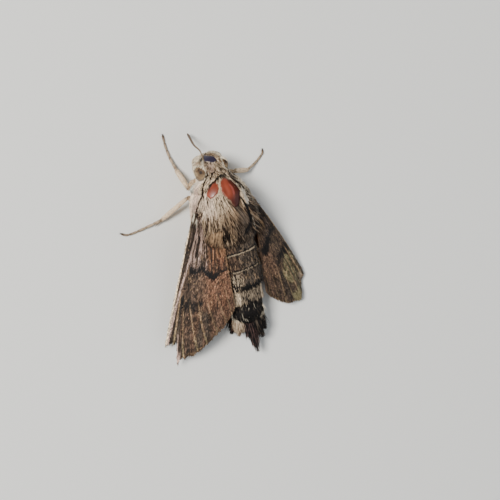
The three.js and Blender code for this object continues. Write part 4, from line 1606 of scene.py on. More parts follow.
            # Each scale's brightness differs at random: partly its own tone, partly painted glints on the
            # brightest.
            tint = tinter(u, v, chance) * (0.35 + 1.9 * rng.random(count) ** 2.2)[:, None]
            rise = 0.08 + 0.1 * rng.random(count)
            pieces.append(ground.grow((u, v), size, width, tint, rng, patch, rise=rise, droop=0.04,
                                      thick=0.14, shade=0.25, rings=2))
        return Shape.joined(pieces + [self.root_hair(upper, rng), self.fringe(upper, rng)])

    def root_hair(self, ground: Ground, rng: Rng) -> Shape:
        """Long hair over the wing's root, shorter outwards, from the back's colours to the wing's.

        Args:
            ground: the upper side.
            rng: the source of chance.

        Returns:
            The hair as one shape.
        """
        count = self.root_hairs
        u = 0.02 + 0.3 * rng.random(count) ** 1.4
        v = 0.02 + 0.98 * rng.random(count)
        chance = 0.5 * rng.random(count) + 0.5 * noise(v * 22, u * 3, 31)
        out = ramp(u, 0.06, 0.16)
        if self.side is Side.LEFT:
            out = np.maximum(out, fade(v, 0.5, 0.2))
        pale = blend(TAN, GREY_BROWN, 0.5 * out)
        tint = blend(pale, DARK * 1.2, smooth((0.5 + 0.1 * out - chance) / 0.12))
        # On the left wing the root hair at the leading edge is whitened like the left flank: partly its own
        # colour, partly painted light from the moth's left.
        edge = fade(v, 0.18, 0.05) * fade(u, 0.16, 0.05) * (self.side is Side.LEFT)
        tint = blend(blend(tint, self.marks(u, v, chance), out * 0.8), IVORY * 0.9, edge)
        size = (1.9 - 1.1 * out) * (0.7 + 0.6 * rng.random(count))
        rise = 0.14 + 0.1 * rng.random(count)
        return ground.grow((u, v), size, 0.1, tint, rng, UPPER_PATCH, sway=0.05, rise=rise, droop=0.1)

    def fringe(self, ground: Ground, rng: Rng) -> Shape:
        """Narrow scales past the outer margin and along the hind edge.

        Args:
            ground: the upper side.
            rng: the source of chance.

        Returns:
            The scales as one shape.
        """
        count = self.fringe_scales
        hind = np.arange(count) % 4 == 0
        v = np.where(hind, 0.995, rng.random(count))
        u = np.where(hind, 0.25 + 0.73 * rng.random(count), 0.985)
        _, normal, lie = ground.at(u, v)
        outward = np.cross(lie, normal) * ground.sign
        lie = np.where(hind[:, None], unit(lie + 0.7 * outward * self.side.value), lie)
        torn = self.torn * (v < 0.22)
        chance = rng.random(count)
        tint = blend(self.marks(np.minimum(u, 0.97), v, chance), TAN * 0.8, 0.3 + 0 * v)
        size = (0.38 + 0.3 * rng.random(count)) * (1 - 0.5 * torn) * np.where(hind, 0.7, 1)
        return ground.grow((u, v), size, 0.1, tint, rng, UPPER_PATCH, lie, 0.12, rise=0.02, droop=0.03,
                           thick=0.2, shade=0.2, rings=2)

    def build(self, finishes: "Finishes") -> None:
        """Makes the wing and its scales.

        Args:
            finishes: the moth's finishes.
        """
        name = f"forewing_{self.side.word}"
        self.surface().build(f"{name}_membrane", finishes.wing, "forewing", name, uv="Scales")
        rng = np.random.default_rng(210 + self.side.value)
        self.coat(rng).build(f"coat_{name}", finishes.coat, "forewing")


@dataclass(frozen=True)
class Hindwing:
    """A hindwing, tucked under its forewing: shorter, rounder, and tawny."""

    fore: Forewing
    drop: float = 0.85
    rows: int = 80
    columns: int = 60
    scales: int = 1500  # on each side, the first of them along the margin
    margin_scales: int = 260

    def mid(self, r: Array, q: Array) -> Array:
        """The middle surface: an inner part of the forewing's, moved under it."""
        span = 0.1 + r * (0.54 - 0.2 * (2 * q - 0.9) ** 2)
        return self.fore.mid(span, 0.16 + 0.52 * q) - self.fore.normal() * self.drop

    def marks(self, r: Array, q: Array, chance: Array) -> Array:
        """Tawny orange with a brown root and a dark border, and darker veins.

        Args:
            r: 0 at the root to 1 at the margin.
            q: 0 at the leading edge to 1 at the hind edge.
            chance: 0 to 1 for each place.

        Returns:
            Linear colours.
        """
        tint = blend(TAWNY, DARK * 1.3, 0.85 * ramp(r, 0.82, 0.1))
        tint = blend(tint, BROWN, 0.8 * fade(r, 0.22, 0.15))
        ribs = band(np.mod(q * 7, 1), 0.5, 0.03, 0.05)
        tint = blend(tint, DARK * 1.2, 0.95 * np.maximum(ramp(q, 0.5, 0.15), fade(r, 0.55, 0.2)))
        return blend(tint, RUST, 0.5 * ribs) * (0.75 + 0.45 * chance)[..., None]

    def build(self, finishes: "Finishes") -> None:
        """Makes the wing and its scales.

        Formula: two grids on both sides of the middle surface, thinner towards the edges.

        Args:
            finishes: the moth's finishes.
        """
        r, q = np.meshgrid(np.linspace(0, 1, self.rows), np.linspace(0, 1, self.columns), indexing="ij")
        mid, n = self.mid(r, q), self.fore.normal()
        edge = np.minimum.reduce([1 - r, q, 1 - q])
        half = (0.02 + 0.04 * smooth(edge / 0.06))[..., None]
        tint = self.marks(r, q, noise(q * 90, r * 120, 22)).reshape(-1, 3)
        name = f"hindwing_{self.fore.side.word}"
        place = np.stack([q * 6, r * 11], -1)
        shape = wing_shape(mid + n * half, mid - n * half, np.concatenate([tint, tint]), place)
        shape.build(f"{name}_membrane", finishes.wing, "hindwing", name, uv="Scales")
        rng = np.random.default_rng(220 + self.fore.side.value)
        count, pieces = self.scales, []
        for out, patch in ((1, UPPER_PATCH), (-1, UNDER_PATCH)):
            ground = Ground(mid + out * n * half).facing(-out * FAR * n)
            u, v = scattered(ground.area(), count, rng)
            u = np.where(np.arange(count) < self.margin_scales, 0.98, u)
            size, width = 0.3 + 0.25 * rng.random(count), 0.09 + 0.05 * rng.random(count)
            tint = self.marks(u, v, rng.random(count))
            pieces.append(ground.grow((u, v), size, width, tint, rng, patch, sway=0.1, rise=0.07, droop=0.03,
                                      thick=0.14, shade=0.2, rings=2))
        Shape.joined(pieces).build(f"coat_{name}", finishes.coat, "hindwing")


# The left wing is whole and rosy, its tip torn in front.
LEFT_WING = Forewing(
    Side.LEFT, ((-3.1, 1.9, 6.3), (-1.6, -2.6, 8.1)),
    ((0, -13, -18.6, 1.1), (0.167, -11.45, -19.9, 2), (0.222, -10.85, -19.05, 2.4),
     (0.4, -8.6, -18.55, 3.3), (0.6, -6.3, -17.3, 4.3), (0.83, -3.8, -15.65, 5.3), (1, -2.47, -14, 6.1)),
    bulge=(-0.2, 0, 0.1), hollow=(-0.2, 0, 0), camber=0.55, torn=1,
    pattern=Pattern(
        band=((0, 0.4), (0.16, 0.415), (0.23, 0.43), (0.3, 0.437), (0.36, 0.412), (0.42, 0.424),
              (0.51, 0.458), (0.62, 0.5), (0.7, 0.512), (0.78, 0.497), (0.88, 0.512), (1, 0.53)),
        second=((0.04, 0.725), (0.12, 0.705), (0.19, 0.645), (0.26, 0.655), (0.32, 0.668), (0.42, 0.66)),
        second_to=0.34,
        veins=((0.08, 0.09), (0.145, 0.26), (0.265, 0.42), (0.385, 0.54), (0.53, 0.69), (0.7, 0.83),
               (0.86, 0.93)),
        streak=((0.12, 0.18), (0.38, 0.13), (0.52, 0.09), (0.635, 0.06), (0.8, 0.04), (0.95, 0.025)),
        spots=((0.66, 0.402, 0.5, 1), (0.7, 0.395, 0.35, 0.6), (0.6, 0.5, 0.3, 0.4),
               (0.676, 0.749, 0.4, 0.6), (0.81, 0.64, 0.8, 0.45), (0.3, 0.3, 0.35, 0.8),
               (0.28, 0.12, 0.3, 0.7), (0.69, 0.26, 0.5, 0.7)),
        pale_dot=(0.488, 0.176), warm=1, olive=0,
    ),
)

# The right wing is greyer, its outer third rubbed to olive.
RIGHT_WING = Forewing(
    Side.RIGHT, ((2.9, 1.7, 7.6), (2.5, -2.6, 6.9)),
    ((0, 10.75, -13.2, 1), (0.08, 10.92, -14.1, 0.65), (0.222, 10, -15.6, 0.85),
     (0.389, 8.95, -17.5, 1.1), (0.444, 8.4, -17.3, 1.3), (0.6, 6.6, -17, 1.9), (0.8, 4.7, -15.6, 2.8),
     (1, 3.3, -13.9, 4.1)),
    bulge=(0.33, 0.1, 0.1), hollow=(0.35, 0, -0.35), camber=0.5, torn=0,
    pattern=Pattern(
        band=((0, 0.465), (0.13, 0.452), (0.22, 0.42), (0.32, 0.401), (0.4, 0.405), (0.48, 0.42),
              (0.6, 0.458), (0.79, 0.476), (1, 0.48)),
        second=((0.1, 0.675), (0.18, 0.662), (0.27, 0.62), (0.36, 0.59), (0.49, 0.62), (0.6, 0.63)),
        second_to=0.5,
        veins=((0.06, 0.05), (0.14, 0.14), (0.22, 0.24), (0.31, 0.36), (0.42, 0.5), (0.55, 0.62), (0.7, 0.76),
               (0.84, 0.88)),
        streak=(),
        spots=((0.318, 0.04, 0.35, 0.8), (0.48, 0.02, 0.4, 0.8), (0.926, 0.241, 0.5, 0.7),
               (0.63, 0.74, 0.5, 0.4), (0.42, 0.42, 0.5, 0.5)),
        pale_dot=(0.53, 0.19), warm=0.25, olive=0.85,
    ),
)


# ---- legs
@dataclass(frozen=True)
class Leg:
    """One leg: hip, trochanter, knee and ankle, the foot's bends, and where the shin's spurs end."""

    name: str
    hip: tuple  # in the body frame, inside the thorax
    trochanter: tuple
    knee: tuple
    ankle: tuple
    foot: tuple
    shin: float = 0.33
    spurs: tuple = ()
    around: int = 14
    joints: int = 5

    def limb(self, start: Array, end: Array, first: float, last: float, swell: float) -> Shape:
        """A limb piece with round ends.

        Formula: the radius runs evenly from first to last with a sine's swell in the middle, closed at
        both ends by a rounded square's curve.

        Args:
            start: where the piece starts.
            end: where it ends.
            first: the radius at the start.
            last: the radius at the end.
            swell: how much thicker the middle is.

        Returns:
            The tube.
        """
        x = np.linspace(0.002, 0.998, 34)
        full = (1 - np.abs(2 * x - 1) ** 10) ** 0.3
        path = start + (end - start) * x[:, None]
        radius = full * (first + (last - first) * x + swell * np.sin(math.pi * x))
        return tube(path, radius, self.around)

    def foot_path(self, steps: int) -> Array:
        """The foot's middle line, smooth through its bends.

        Args:
            steps: how many points.

        Returns:
            The line.
        """
        bends = np.array((self.ankle,) + self.foot)
        apart = np.concatenate([[0], np.cumsum(np.linalg.norm(np.diff(bends, axis=0), axis=1))])
        return through(apart, bends, np.linspace(0, apart[-1], steps))

    def pieces(self) -> list[tuple[Shape, int, float]]:
        """The leg's tubes, each with the number of its scales and their length.

        Returns:
            Each tube, with the number of its scales and their length.
        """
        hip = TRUNK.to_model(np.array(self.hip))
        trochanter, knee, ankle = map(np.array, (self.trochanter, self.knee, self.ankle))
        shapes = [
            (self.limb(hip, trochanter, 0.66, 0.36, 0.04), 260, 0.42),
            (self.limb(trochanter, knee, 0.3, 0.27, 0.13), 360, 0.44),
            (self.limb(knee, ankle, self.shin * 0.72, self.shin * 0.85, 0.06), 420, 0.38),
        ]
        for tip in self.spurs:
            start = knee + (ankle - knee) * 0.9
            path = start + (np.array(tip) - start) * np.linspace(0, 1, 14)[:, None]
            shapes.append((tube(path, np.linspace(0.13, 0.03, 14), 10), 60, 0.2))
        x = np.linspace(0, 1, 60)
        beads = np.mod(x * self.joints * 0.999, 1)
        radius = 0.2 * (1 - 0.25 * x) * (0.62 + 0.38 * smooth(beads / 0.25) * fade(beads, 1.02, 0.12))
        radius[[0, -1]] *= 0.4
        return shapes + [(tube(self.foot_path(len(x)), radius, self.around), 420, 0.2)]

    def marks(self, part: int, along: Array, chance: Array) -> Array:
        """Cream scales, browner at the joints and towards the claws.

        Args:
            part: the tube's number in pieces().
            along: 0 to 1 down the tube.
            chance: 0 to 1 for each place.

        Returns:
            Linear colours.
        """
        tint = blend(CREAM * 1.05, TAN, 0.8 * fade(chance, 0.35, 0.15))
        joint = np.maximum(fade(along, 0.12, 0.1), ramp(along, 0.9, 0.08))
        tint = blend(tint, BROWN if part > 1 else CUTICLE_DEEP, 0.65 * joint)
        if part >= 3:
            rings = ramp(np.mod(along * self.joints, 1), 0.7, 0.2)
            tint = blend(tint, BROWN, 0.35 + 0.45 * along)
            tint = blend(tint, DARK, 0.5 * rings)
        return tint

    def build(self, finishes: "Finishes", number: int) -> None:
        """Makes the leg and its scales.

        Args:
            finishes: the moth's finishes.
            number: the leg's number, which sets its chances.
        """
        rng = np.random.default_rng(300 + number)
        skins, tufts = [], []
        for part, (shape, count, size) in enumerate(self.pieces()):
            along = shape.values["along"]
            chance = noise(shape.values["round"] * 9, along * 14, part)
            # Painted shade: the skin under the scales is a darker copy of their colours.
            skins.append(shape.painted(tint=self.marks(part, along, chance) * 0.85))
            ground = tube_ground(shape)
            u, v = scattered(ground.area(), count, rng)
            length, tint = size * (0.7 + 0.6 * rng.random(count)), self.marks(part, u, rng.random(count))
            tufts.append(ground.grow((u, v), length, 0.2 * size + 0.015, tint, rng, ninth(part), sway=0.1,
                                     rise=0.16, droop=0.08, thick=0.2, shade=0.35, rings=2))
        nodes = [f"{part}_{self.name}" for part in ("coxa", "femur", "tibia", "tarsus")]
        Shape.joined(skins).build(f"leg_{self.name}", finishes.leg, "leg", *nodes)
        Shape.joined(tufts).build(f"coat_leg_{self.name}", finishes.coat, "leg")

    def claws(self) -> list[Shape]:
        """Two small hooks at the foot's end.

        Formula: each leaves the foot's end sideways and curls down by a quarter circle.

        Returns:
            The hooks.
        """
        path = self.foot_path(20)
        ahead = unit(path[-1] - path[-3])
        side = unit(np.cross(ahead, np.array([0, 0, 1])))
        x = np.linspace(0, 1, 9)[:, None]
        hooks = []
        for sign in (-1, 1):
            line = path[-1] + ahead * 0.24 * np.sin(x * 1.4) + side * sign * 0.12 * x
            line = line - np.array([0, 0, 0.12]) * x**2
            hooks.append(tube(line, 0.045 * (1 - 0.85 * x[:, 0]), 8))
        return hooks


LEGS = (
    Leg("fore_left", (-1.2, 2.1, -2.2), (-0.9, 3.3, 1.35), (-2.8, 2.72, 3), (-3.05, 5.45, 1.25),
        ((-3.16, 7.2, 0.5), (-3.18, 8.8, 0.2), (-3.1, 10.4, 0.2)), shin=0.36),
    Leg("fore_right", (1.2, 2.1, -2.2), (1.5, 3.2, 1.45), (4.25, 3, 2.95), (6.95, 2.35, 1.4),
        ((8.4, 2.7, 0.6), (9.45, 3.1, 0.2), (10.35, 3.75, 0.2), (10.5, 4.2, 0.2)), shin=0.36),
    Leg("mid_left", (-1.5, 0, -2.6), (-1.35, 0.35, 1.2), (-3.2, 1.6, 3), (-7.1, -0.36, 1),
        ((-9.2, -0.68, 0.45), (-11.2, -0.88, 0.2), (-12.2, -0.8, 0.2), (-12.8, -0.42, 0.2)),
        spurs=((-7.95, -0.95, 0.55), (-7.85, -0.45, 0.4))),
    Leg("mid_right", (1.5, 0, -2.6), (1.7, 0.2, 1.4), (4.3, -1, 3.1), (6.5, -4.5, 0.95),
        ((7.1, -6.4, 0.45), (7.5, -8.2, 0.2), (7.7, -9.6, 0.2)), spurs=((6.5, -5.5, 0.5), (7, -5.3, 0.4))),
    Leg("hind_left", (-1.4, -2.2, -2.6), (-0.9, -2.6, 1.25), (-3, -1.4, 2.5), (-3.2, -3.3, 0.95),
        ((-3.4, -5.2, 0.4), (-3.7, -6.9, 0.2), (-3.9, -8.5, 0.2)),
        spurs=((-4.6, -4.6, 0.35), (-3.8, -4.5, 0.3))),
    Leg("hind_right", (1.4, -2.2, -2.6), (1.5, -2.7, 1.5), (3.9, -5, 2.7), (5.1, -9, 0.95),
        ((5.5, -10.9, 0.45), (5.8, -12.7, 0.2), (5.9, -14.1, 0.2)),
        spurs=((5, -10.1, 0.5), (5.55, -9.95, 0.4))),
)


# ---- eyes, feelers, tongue
@dataclass(frozen=True)
class Face:
    """The eyes, feelers and tongue."""

    eye_rows: int = 48
    eye_around: int = 64
    eye_spots: tuple = (  # place on a unit ball, with outwards as minus x; how wide; how dark
        ((-0.5, 0.28, 0.82), 0.24, 1), ((-0.56, 0.62, 0.55), 0.14, 0.9), ((-0.8, 0, 0.6), 0.1, 0.6),
        ((-0.2, 0.1, 0.98), 0.08, 0.5), ((-0.75, 0.45, 0.2), 0.1, 0.6),
    )
    feeler_rings: int = 46
    spiral_turns: float = 2.4

    def eye(self, side: Side) -> Shape:
        """A many-faceted eye.

        Formula: an oval ball in rings about the head's long axis; its colours darken in a few round
        patches on its outer side, and towards the head.

        Args:
            side: which eye.

        Returns:
            The closed ball.
        """
        theta = np.linspace(0, math.pi, self.eye_rows + 2)[1:-1]
        phi = np.arange(self.eye_around) / self.eye_around * 2 * math.pi
        out, ahead = np.sin(theta)[:, None], np.cos(theta)[:, None]
        ball = np.stack([out * np.cos(phi), ahead + 0 * phi, out * np.sin(phi)], -1).reshape(-1, 3)
        ball = np.concatenate([ball, [[0, 1, 0], [0, -1, 0]]])
        a, b, c = TRUNK.eye
        points = TRUNK.on_head(*(ball * np.array(TRUNK.eye_radii) + np.array([side.value * a, b, c])))
        quads, triangles = ring_faces(self.eye_rows, self.eye_around, len(ball) - 2, len(ball) - 1)
        mirrored = ball * np.array([-side.value, 1, 1])
        cloudy = noise(mirrored[:, 0] * 4, mirrored[:, 1] * 4, 4)
        tint = blend(colour(162, 140, 108), BROWN * 1.2, 0.9 * cloudy)
        middle = np.linalg.norm(mirrored - unit(np.array([-0.5, 0.35, 0.8])), axis=1)
        tint = blend(tint, BROWN, 0.75 * fade(middle, 0.75, 0.5))
        for spot, size, depth in self.eye_spots:
            apart = np.linalg.norm(mirrored - unit(np.array(spot)), axis=1)
            tint = blend(tint, DARK, depth * smooth((size - apart) / 0.16 + 0.5))
        # Painted shade: the eye darkens on its inner side, where it meets the head.
        inward = ramp(mirrored[:, 0], -0.1, 0.35)
        return Shape(points, quads, triangles).painted(tint=blend(tint, DARK, inward)).outward()

    def feeler(self, path: Array) -> Shape:
        """A ringed club: slim at the root, thicker before the hooked tip.

        Formula: a smooth line through the named points; the radius swells by a sine and is pinched
        between the rings.

        Args:
            path: (n, 3) points from root to tip.

        Returns:
            The closed club.
        """
        x = np.linspace(0, 1, 260)
        apart = np.concatenate([[0], np.cumsum(np.linalg.norm(np.diff(path, axis=0), axis=1))])
        line = through(apart, path, x * apart[-1])
        ring = np.abs(np.sin(math.pi * self.feeler_rings * x))
        radius = (0.085 + 0.085 * smooth(x / 0.7)) * (0.9 + 0.1 * ring)
        radius = radius * np.where(x > 0.86, np.sqrt(np.clip(1 - ((x - 0.86) / 0.15) ** 2, 0.04, 1)), 1)
        shape = tube(line, radius, 12)
        along, about = shape.values["along"], shape.values["round"]
        pale = band(np.mod(about + 0.25, 1), 0.5, 0.16, 0.1)
        tint = blend(BROWN * 0.7, TAN * 0.8, 0.5 * pale * (1 - 0.6 * along))
        groove = band(np.mod(along * self.feeler_rings, 1), 0, 0.08, 0.12)
        return shape.painted(tint=blend(tint, DARK, 0.7 * groove))

    def tongue(self) -> Shape:
        """The tongue, rolled in a flat spiral between the palps.

        Formula: the reach from the spiral's middle shrinks evenly as the angle grows.

        Returns:
            The rolled tube.
        """
        x = np.linspace(0, 1, 150)
        angle = 2 * math.pi * self.spiral_turns * x
        reach = 1.02 + (0.2 - 1.02) * x
        path = np.stack([0 * x, 5.3 + reach * np.sin(angle), -2.85 + reach * np.cos(angle)], -1)
        line = TRUNK.to_model(TRUNK.turned(path))
        ribs = 1 + 0.05 * np.sin(x * 260)
        horn = tube(line, (0.14 - 0.06 * x) * ribs, 12, up=TRUNK.head_right())
        return horn.painted(tint=BROWN * 0.6)

    def build(self, finishes: "Finishes") -> None:
        """Makes the eyes, feelers and tongue.

        Args:
            finishes: the moth's finishes.
        """
        body = TRUNK.to_model
        paths = {
            Side.LEFT: [body(np.array([-0.85, 6.2, 0.7])), (-0.85, 7.3, 6.2), (-0.9, 8.05, 5),
                        (-0.68, 8.5, 3.9), (-0.27, 9.12, 2.4), (0.1, 9.65, 1)],
            Side.RIGHT: body(np.array([(0.7, 5.9, 0.5), (1.3, 6.15, -0.5), (1.85, 5.6, -1.5),
                                       (2.2, 4.5, -1.95), (2.55, 3.4, -2.2), (3.05, 2.4, -2.5),
                                       (3.5, 1.3, -2.6)])),
        }
        for side in Side:
            self.eye(side).build(f"eye_{side.word}_facets", finishes.eye, "eye", f"eye_{side.word}")
            feeler = self.feeler(np.stack([np.array(point) for point in paths[side]]))
            feeler.build(f"feeler_{side.word}", finishes.feeler, "feeler", f"antenna_{side.word}")
        self.tongue().build("tongue_spiral", finishes.tongue, "tongue", "tongue")


# ---- tail fan
@dataclass(frozen=True)
class Lock:
    """One lock of long scales in the tail fan, in the body frame."""

    root: tuple
    tip: tuple
    wide: float
    tint: Array
    other: Array
    share: float  # of the other colour
    count: int = 420


@dataclass(frozen=True)
class TailFan:
    """The fan of long flat scales past the abdomen's end, in locks."""

    flatten: float = 0.42
    locks: tuple = (
        Lock((-1.5, -14.8, -0.6), (-2.8, -18.6, -0.9), 0.75, BLACK * 1.3, DARK, 0.15),
        Lock((-1.45, -15.2, -0.3), (-2.35, -18.4, -0.45), 0.5, CREAM * 0.8, RUST, 0.25, 240),
        Lock((-1.1, -15.2, -0.2), (-1.95, -19.1, -0.4), 0.55, CREAM * 0.9, RUST, 0.3, 300),
        Lock((-0.8, -15.2, -0.2), (-1.3, -18.7, -0.35), 0.55, CREAM * 0.8, RUST, 0.4, 300),
        Lock((-0.5, -15.2, -0.2), (-0.75, -19.6, -0.4), 0.55, colour(112, 88, 84), BLACK * 1.6, 0.4, 300),
        Lock((-0.1, -15.2, -0.4), (0.12, -22.2, -0.55), 1.15, BLACK * 1.6, colour(104, 80, 76), 0.4, 620),
        Lock((0.9, -15.2, -0.3), (1.25, -20.3, -0.6), 1.05, BLACK * 1.5, GREY_BROWN, 0.2, 480),
        Lock((1.4, -15, -0.5), (1.95, -19.3, -0.8), 0.6, BLACK * 1.4, GREY_BROWN, 0.2, 300),
        Lock((-0.1, -15.2, -1), (-0.2, -20, -1.3), 1.4, BLACK * 1.5, DARK, 0.3, 520),
    )

    def core(self, lock: Lock) -> Shape:
        """A lock's flat core, a little inside its scales, painted darker than them as shade.

        Args:
            lock: the lock.

        Returns:
            The closed core.
        """
        x = np.linspace(0, 1, 30)
        full = np.interp(x, [0, 0.4, 0.72, 0.93, 1], [0.5, 0.9, 0.6, 0.16, 0.03])
        ends = TRUNK.to_model(np.array([lock.root, lock.tip], float))
        path = ends[0] + (ends[1] - ends[0]) * 0.94 * x[:, None]
        # Painted shade: the core is a darker copy of its lock's colour.
        return tube(path, lock.wide * 0.85 * full, 20, self.flatten).painted(tint=lock.tint * 0.6)

    def scales(self, lock: Lock, rng: Rng, number: int) -> Shape:
        """Long narrow scales that run down a lock, drawing together towards its tip.

        Args:
            lock: the lock.
            rng: the source of chance.
            number: the lock's number, which sets its bake patch.

        Returns:
            The scales as one shape.
        """
        ground = tube_ground(self.core(lock))
        u, v = scattered(ground.area(), lock.count, rng)
        u = u * 0.86
        root, _, lie = ground.at(u, v)
        tip = TRUNK.to_model(np.array(lock.tip, float))
        lie = unit(unit(lie) * 0.72 + unit(tip - root) * 0.4)
        chance = rng.random(lock.count)
        tint = np.where((chance < lock.share)[:, None], lock.other, lock.tint)
        tint = tint * (0.75 + 0.5 * rng.random(lock.count))[:, None]
        left = np.linalg.norm(tip - root, axis=1)
        size = np.minimum(1.5 + 1.2 * rng.random(lock.count), left * 1.02 + 0.1)
        rise = 0.05 + 0.12 * rng.random(lock.count)
        return ground.grow((u, v), size, 0.09, tint, rng, ninth(number), lie, rise=rise, droop=0.07,
                           shade=0.35)

    def build(self, finishes: "Finishes") -> None:
        """Makes the cores and their scales.

        Args:
            finishes: the moth's finishes.
        """
        rng = np.random.default_rng(400)
        cores = Shape.joined([self.core(lock) for lock in self.locks])
        cores.build("tail_core", finishes.leg, "tail", "tail_fan")
        scales = [self.scales(lock, rng, number) for number, lock in enumerate(self.locks)]
        Shape.joined(scales).build("coat_tail_fan", finishes.coat, "tail")


# ---- finishes
class Tree:
    """A node tree with short words for adding and joining nodes."""

    def __init__(self, tree: bpy.types.NodeTree) -> None:
        """Keeps the tree to work on."""
        self.tree = tree

    def join(self, node: bpy.types.Node, inputs: dict) -> None:
        """Sets a node's inputs, by name, to values or to the sockets of other nodes.

        Args:
            node: the node.
            inputs: values or sockets by the names of its inputs.
        """
        for key, value in inputs.items():
            if isinstance(value, Socket):
                self.tree.links.new(value, node.inputs[key])
            else:
                node.inputs[key].default_value = value

    def add(self, kind: str, inputs: dict | None = None, **settings: object) -> bpy.types.Node:
        """A new node of a kind, with its settings, then its inputs, set.

        Args:
            kind: the kind of node.
            inputs: values or sockets by the names of its inputs.
            settings: its other settings by name.

        Returns:
            The node.
        """
        node = self.tree.nodes.new(f"ShaderNode{kind}")
        for key, value in settings.items():
            setattr(node, key, value)
        self.join(node, inputs or {})
        return node

    def spread(self, value: Socket, low: float, high: float) -> Socket:
        """A value of 0 to 1 as one of low to high."""
        return self.add("MapRange", {"Value": value, "To Min": low, "To Max": high}).outputs["Result"]

    def scaled(self, tint: Socket, by: Socket) -> Socket:
        """A colour times a number."""
        return self.add("VectorMath", {0: tint, "Scale": by}, operation="SCALE").outputs["Vector"]

    def flecked(self, given: dict[str, Socket], value: Socket) -> Socket:
        """The given tint, lighter where a value is over a half and darker where it is under it.

        Args:
            given: the group's inputs by name.
            value: 0 to 1.

        Returns:
            The colour.
        """
        level = self.add("Math", {0: value, 1: 0.5}, operation="SUBTRACT").outputs[0]
        step = self.add("Math", {0: level, 1: given["Strength"], 2: 1.0}, operation="MULTIPLY_ADD")
        return self.scaled(given["Tint"], step.outputs[0])


def node_group(name: str, **inputs: str) -> tuple[Tree, dict[str, Socket], bpy.types.Node]:
    """An empty shader group that gives out a Color and a Height.

    Args:
        name: the group's name.
        inputs: the kinds of its input sockets by name.

    Returns:
        Its tree, the sockets to read from by name, and the node to join the results to.
    """
    group = bpy.data.node_groups.new(name, "ShaderNodeTree")
    for way, sockets in (("INPUT", inputs), ("OUTPUT", {"Color": "Color", "Height": "Float"})):
        for key, kind in sockets.items():
            group.interface.new_socket(name=key, in_out=way, socket_type=f"NodeSocket{kind}")
    given = group.nodes.new("NodeGroupInput").outputs
    return Tree(group), {key: given[key] for key in inputs}, group.nodes.new("NodeGroupOutput")


def grain_group() -> bpy.types.NodeTree:
    """Fine lighter and darker grain over a tint, with its height, as on hair and scales.

    Returns:
        The group.
    """
    tree, given, result = node_group("grain", Tint="Color", Vector="Vector", Scale="Float", Strength="Float")
    cloud = tree.add("TexNoise", {"Vector": given["Vector"], "Scale": given["Scale"], "Detail": 3.0})
    fine = cloud.outputs["Fac"]
    tree.join(result, {"Color": tree.flecked(given, fine), "Height": fine})
    return tree.tree


def scale_rows_group() -> bpy.types.NodeTree:
    """Overlapping scales on a map in millimetres: each its own shade, standing up at its free end.

    Returns:
        The group.
    """
    tree, given, result = node_group("scale_rows", Tint="Color", Vector="Vector", Strength="Float")
    drawn = tree.add("Mapping", {"Vector": given["Vector"], "Scale": (7.5, 3.6, 1.0)}).outputs["Vector"]
    cells = tree.add("TexVoronoi", {"Vector": drawn, "Scale": 1.0}, voronoi_dimensions="2D").outputs
    chance = tree.add("SeparateColor", {"Color": cells["Color"]}).outputs["Red"]
    tree.join(result, {"Color": tree.flecked(given, chance), "Height": cells["Distance"]})
    return tree.tree


@dataclass(frozen=True)
class Finish:
    """A finish of the moth: its grain, gloss and relief, over a tint kept at the corners."""

    name: str
    roughness: float
    grain: float  # how many grains to a millimetre
    strength: float  # how much they lighten and darken
    relief: float  # in millimetres
    coat: float = 0.0
    specular: float = 0.5

    def nodes(self, groups: dict[str, bpy.types.NodeTree]) -> tuple[Material, Tree, dict]:
        """The material: the tint, grained, with a bump of the grain's height.

        Args:
            groups: the shared node groups by name.

        Returns:
            The material, its tree, and its nodes by role.
        """
        material = bpy.data.materials.new(self.name)
        material.use_nodes = True
        material.node_tree.nodes.clear()
        tree = Tree(material.node_tree)
        tint, where = tree.add("Attribute", attribute_name="tint"), tree.add("TexCoord")
        grain = tree.add("Group", {
            "Tint": tint.outputs["Color"], "Vector": where.outputs["Object"],
            "Scale": self.grain / MM, "Strength": self.strength,
        }, node_tree=groups["grain"])
        bump = tree.add("Bump", {
            "Height": grain.outputs["Height"], "Distance": self.relief * MM, "Strength": 0.8,
        })
        shader = tree.add("BsdfPrincipled", {
            "Base Color": grain.outputs["Color"], "Normal": bump.outputs["Normal"],
            "Roughness": self.roughness, "Specular IOR Level": self.specular,
            "Coat Weight": self.coat, "Coat Roughness": 0.15,
        })
        tree.add("OutputMaterial", {"Surface": shader.outputs["BSDF"]})
        return material, tree, {"grain": grain, "bump": bump, "shader": shader, "where": where}


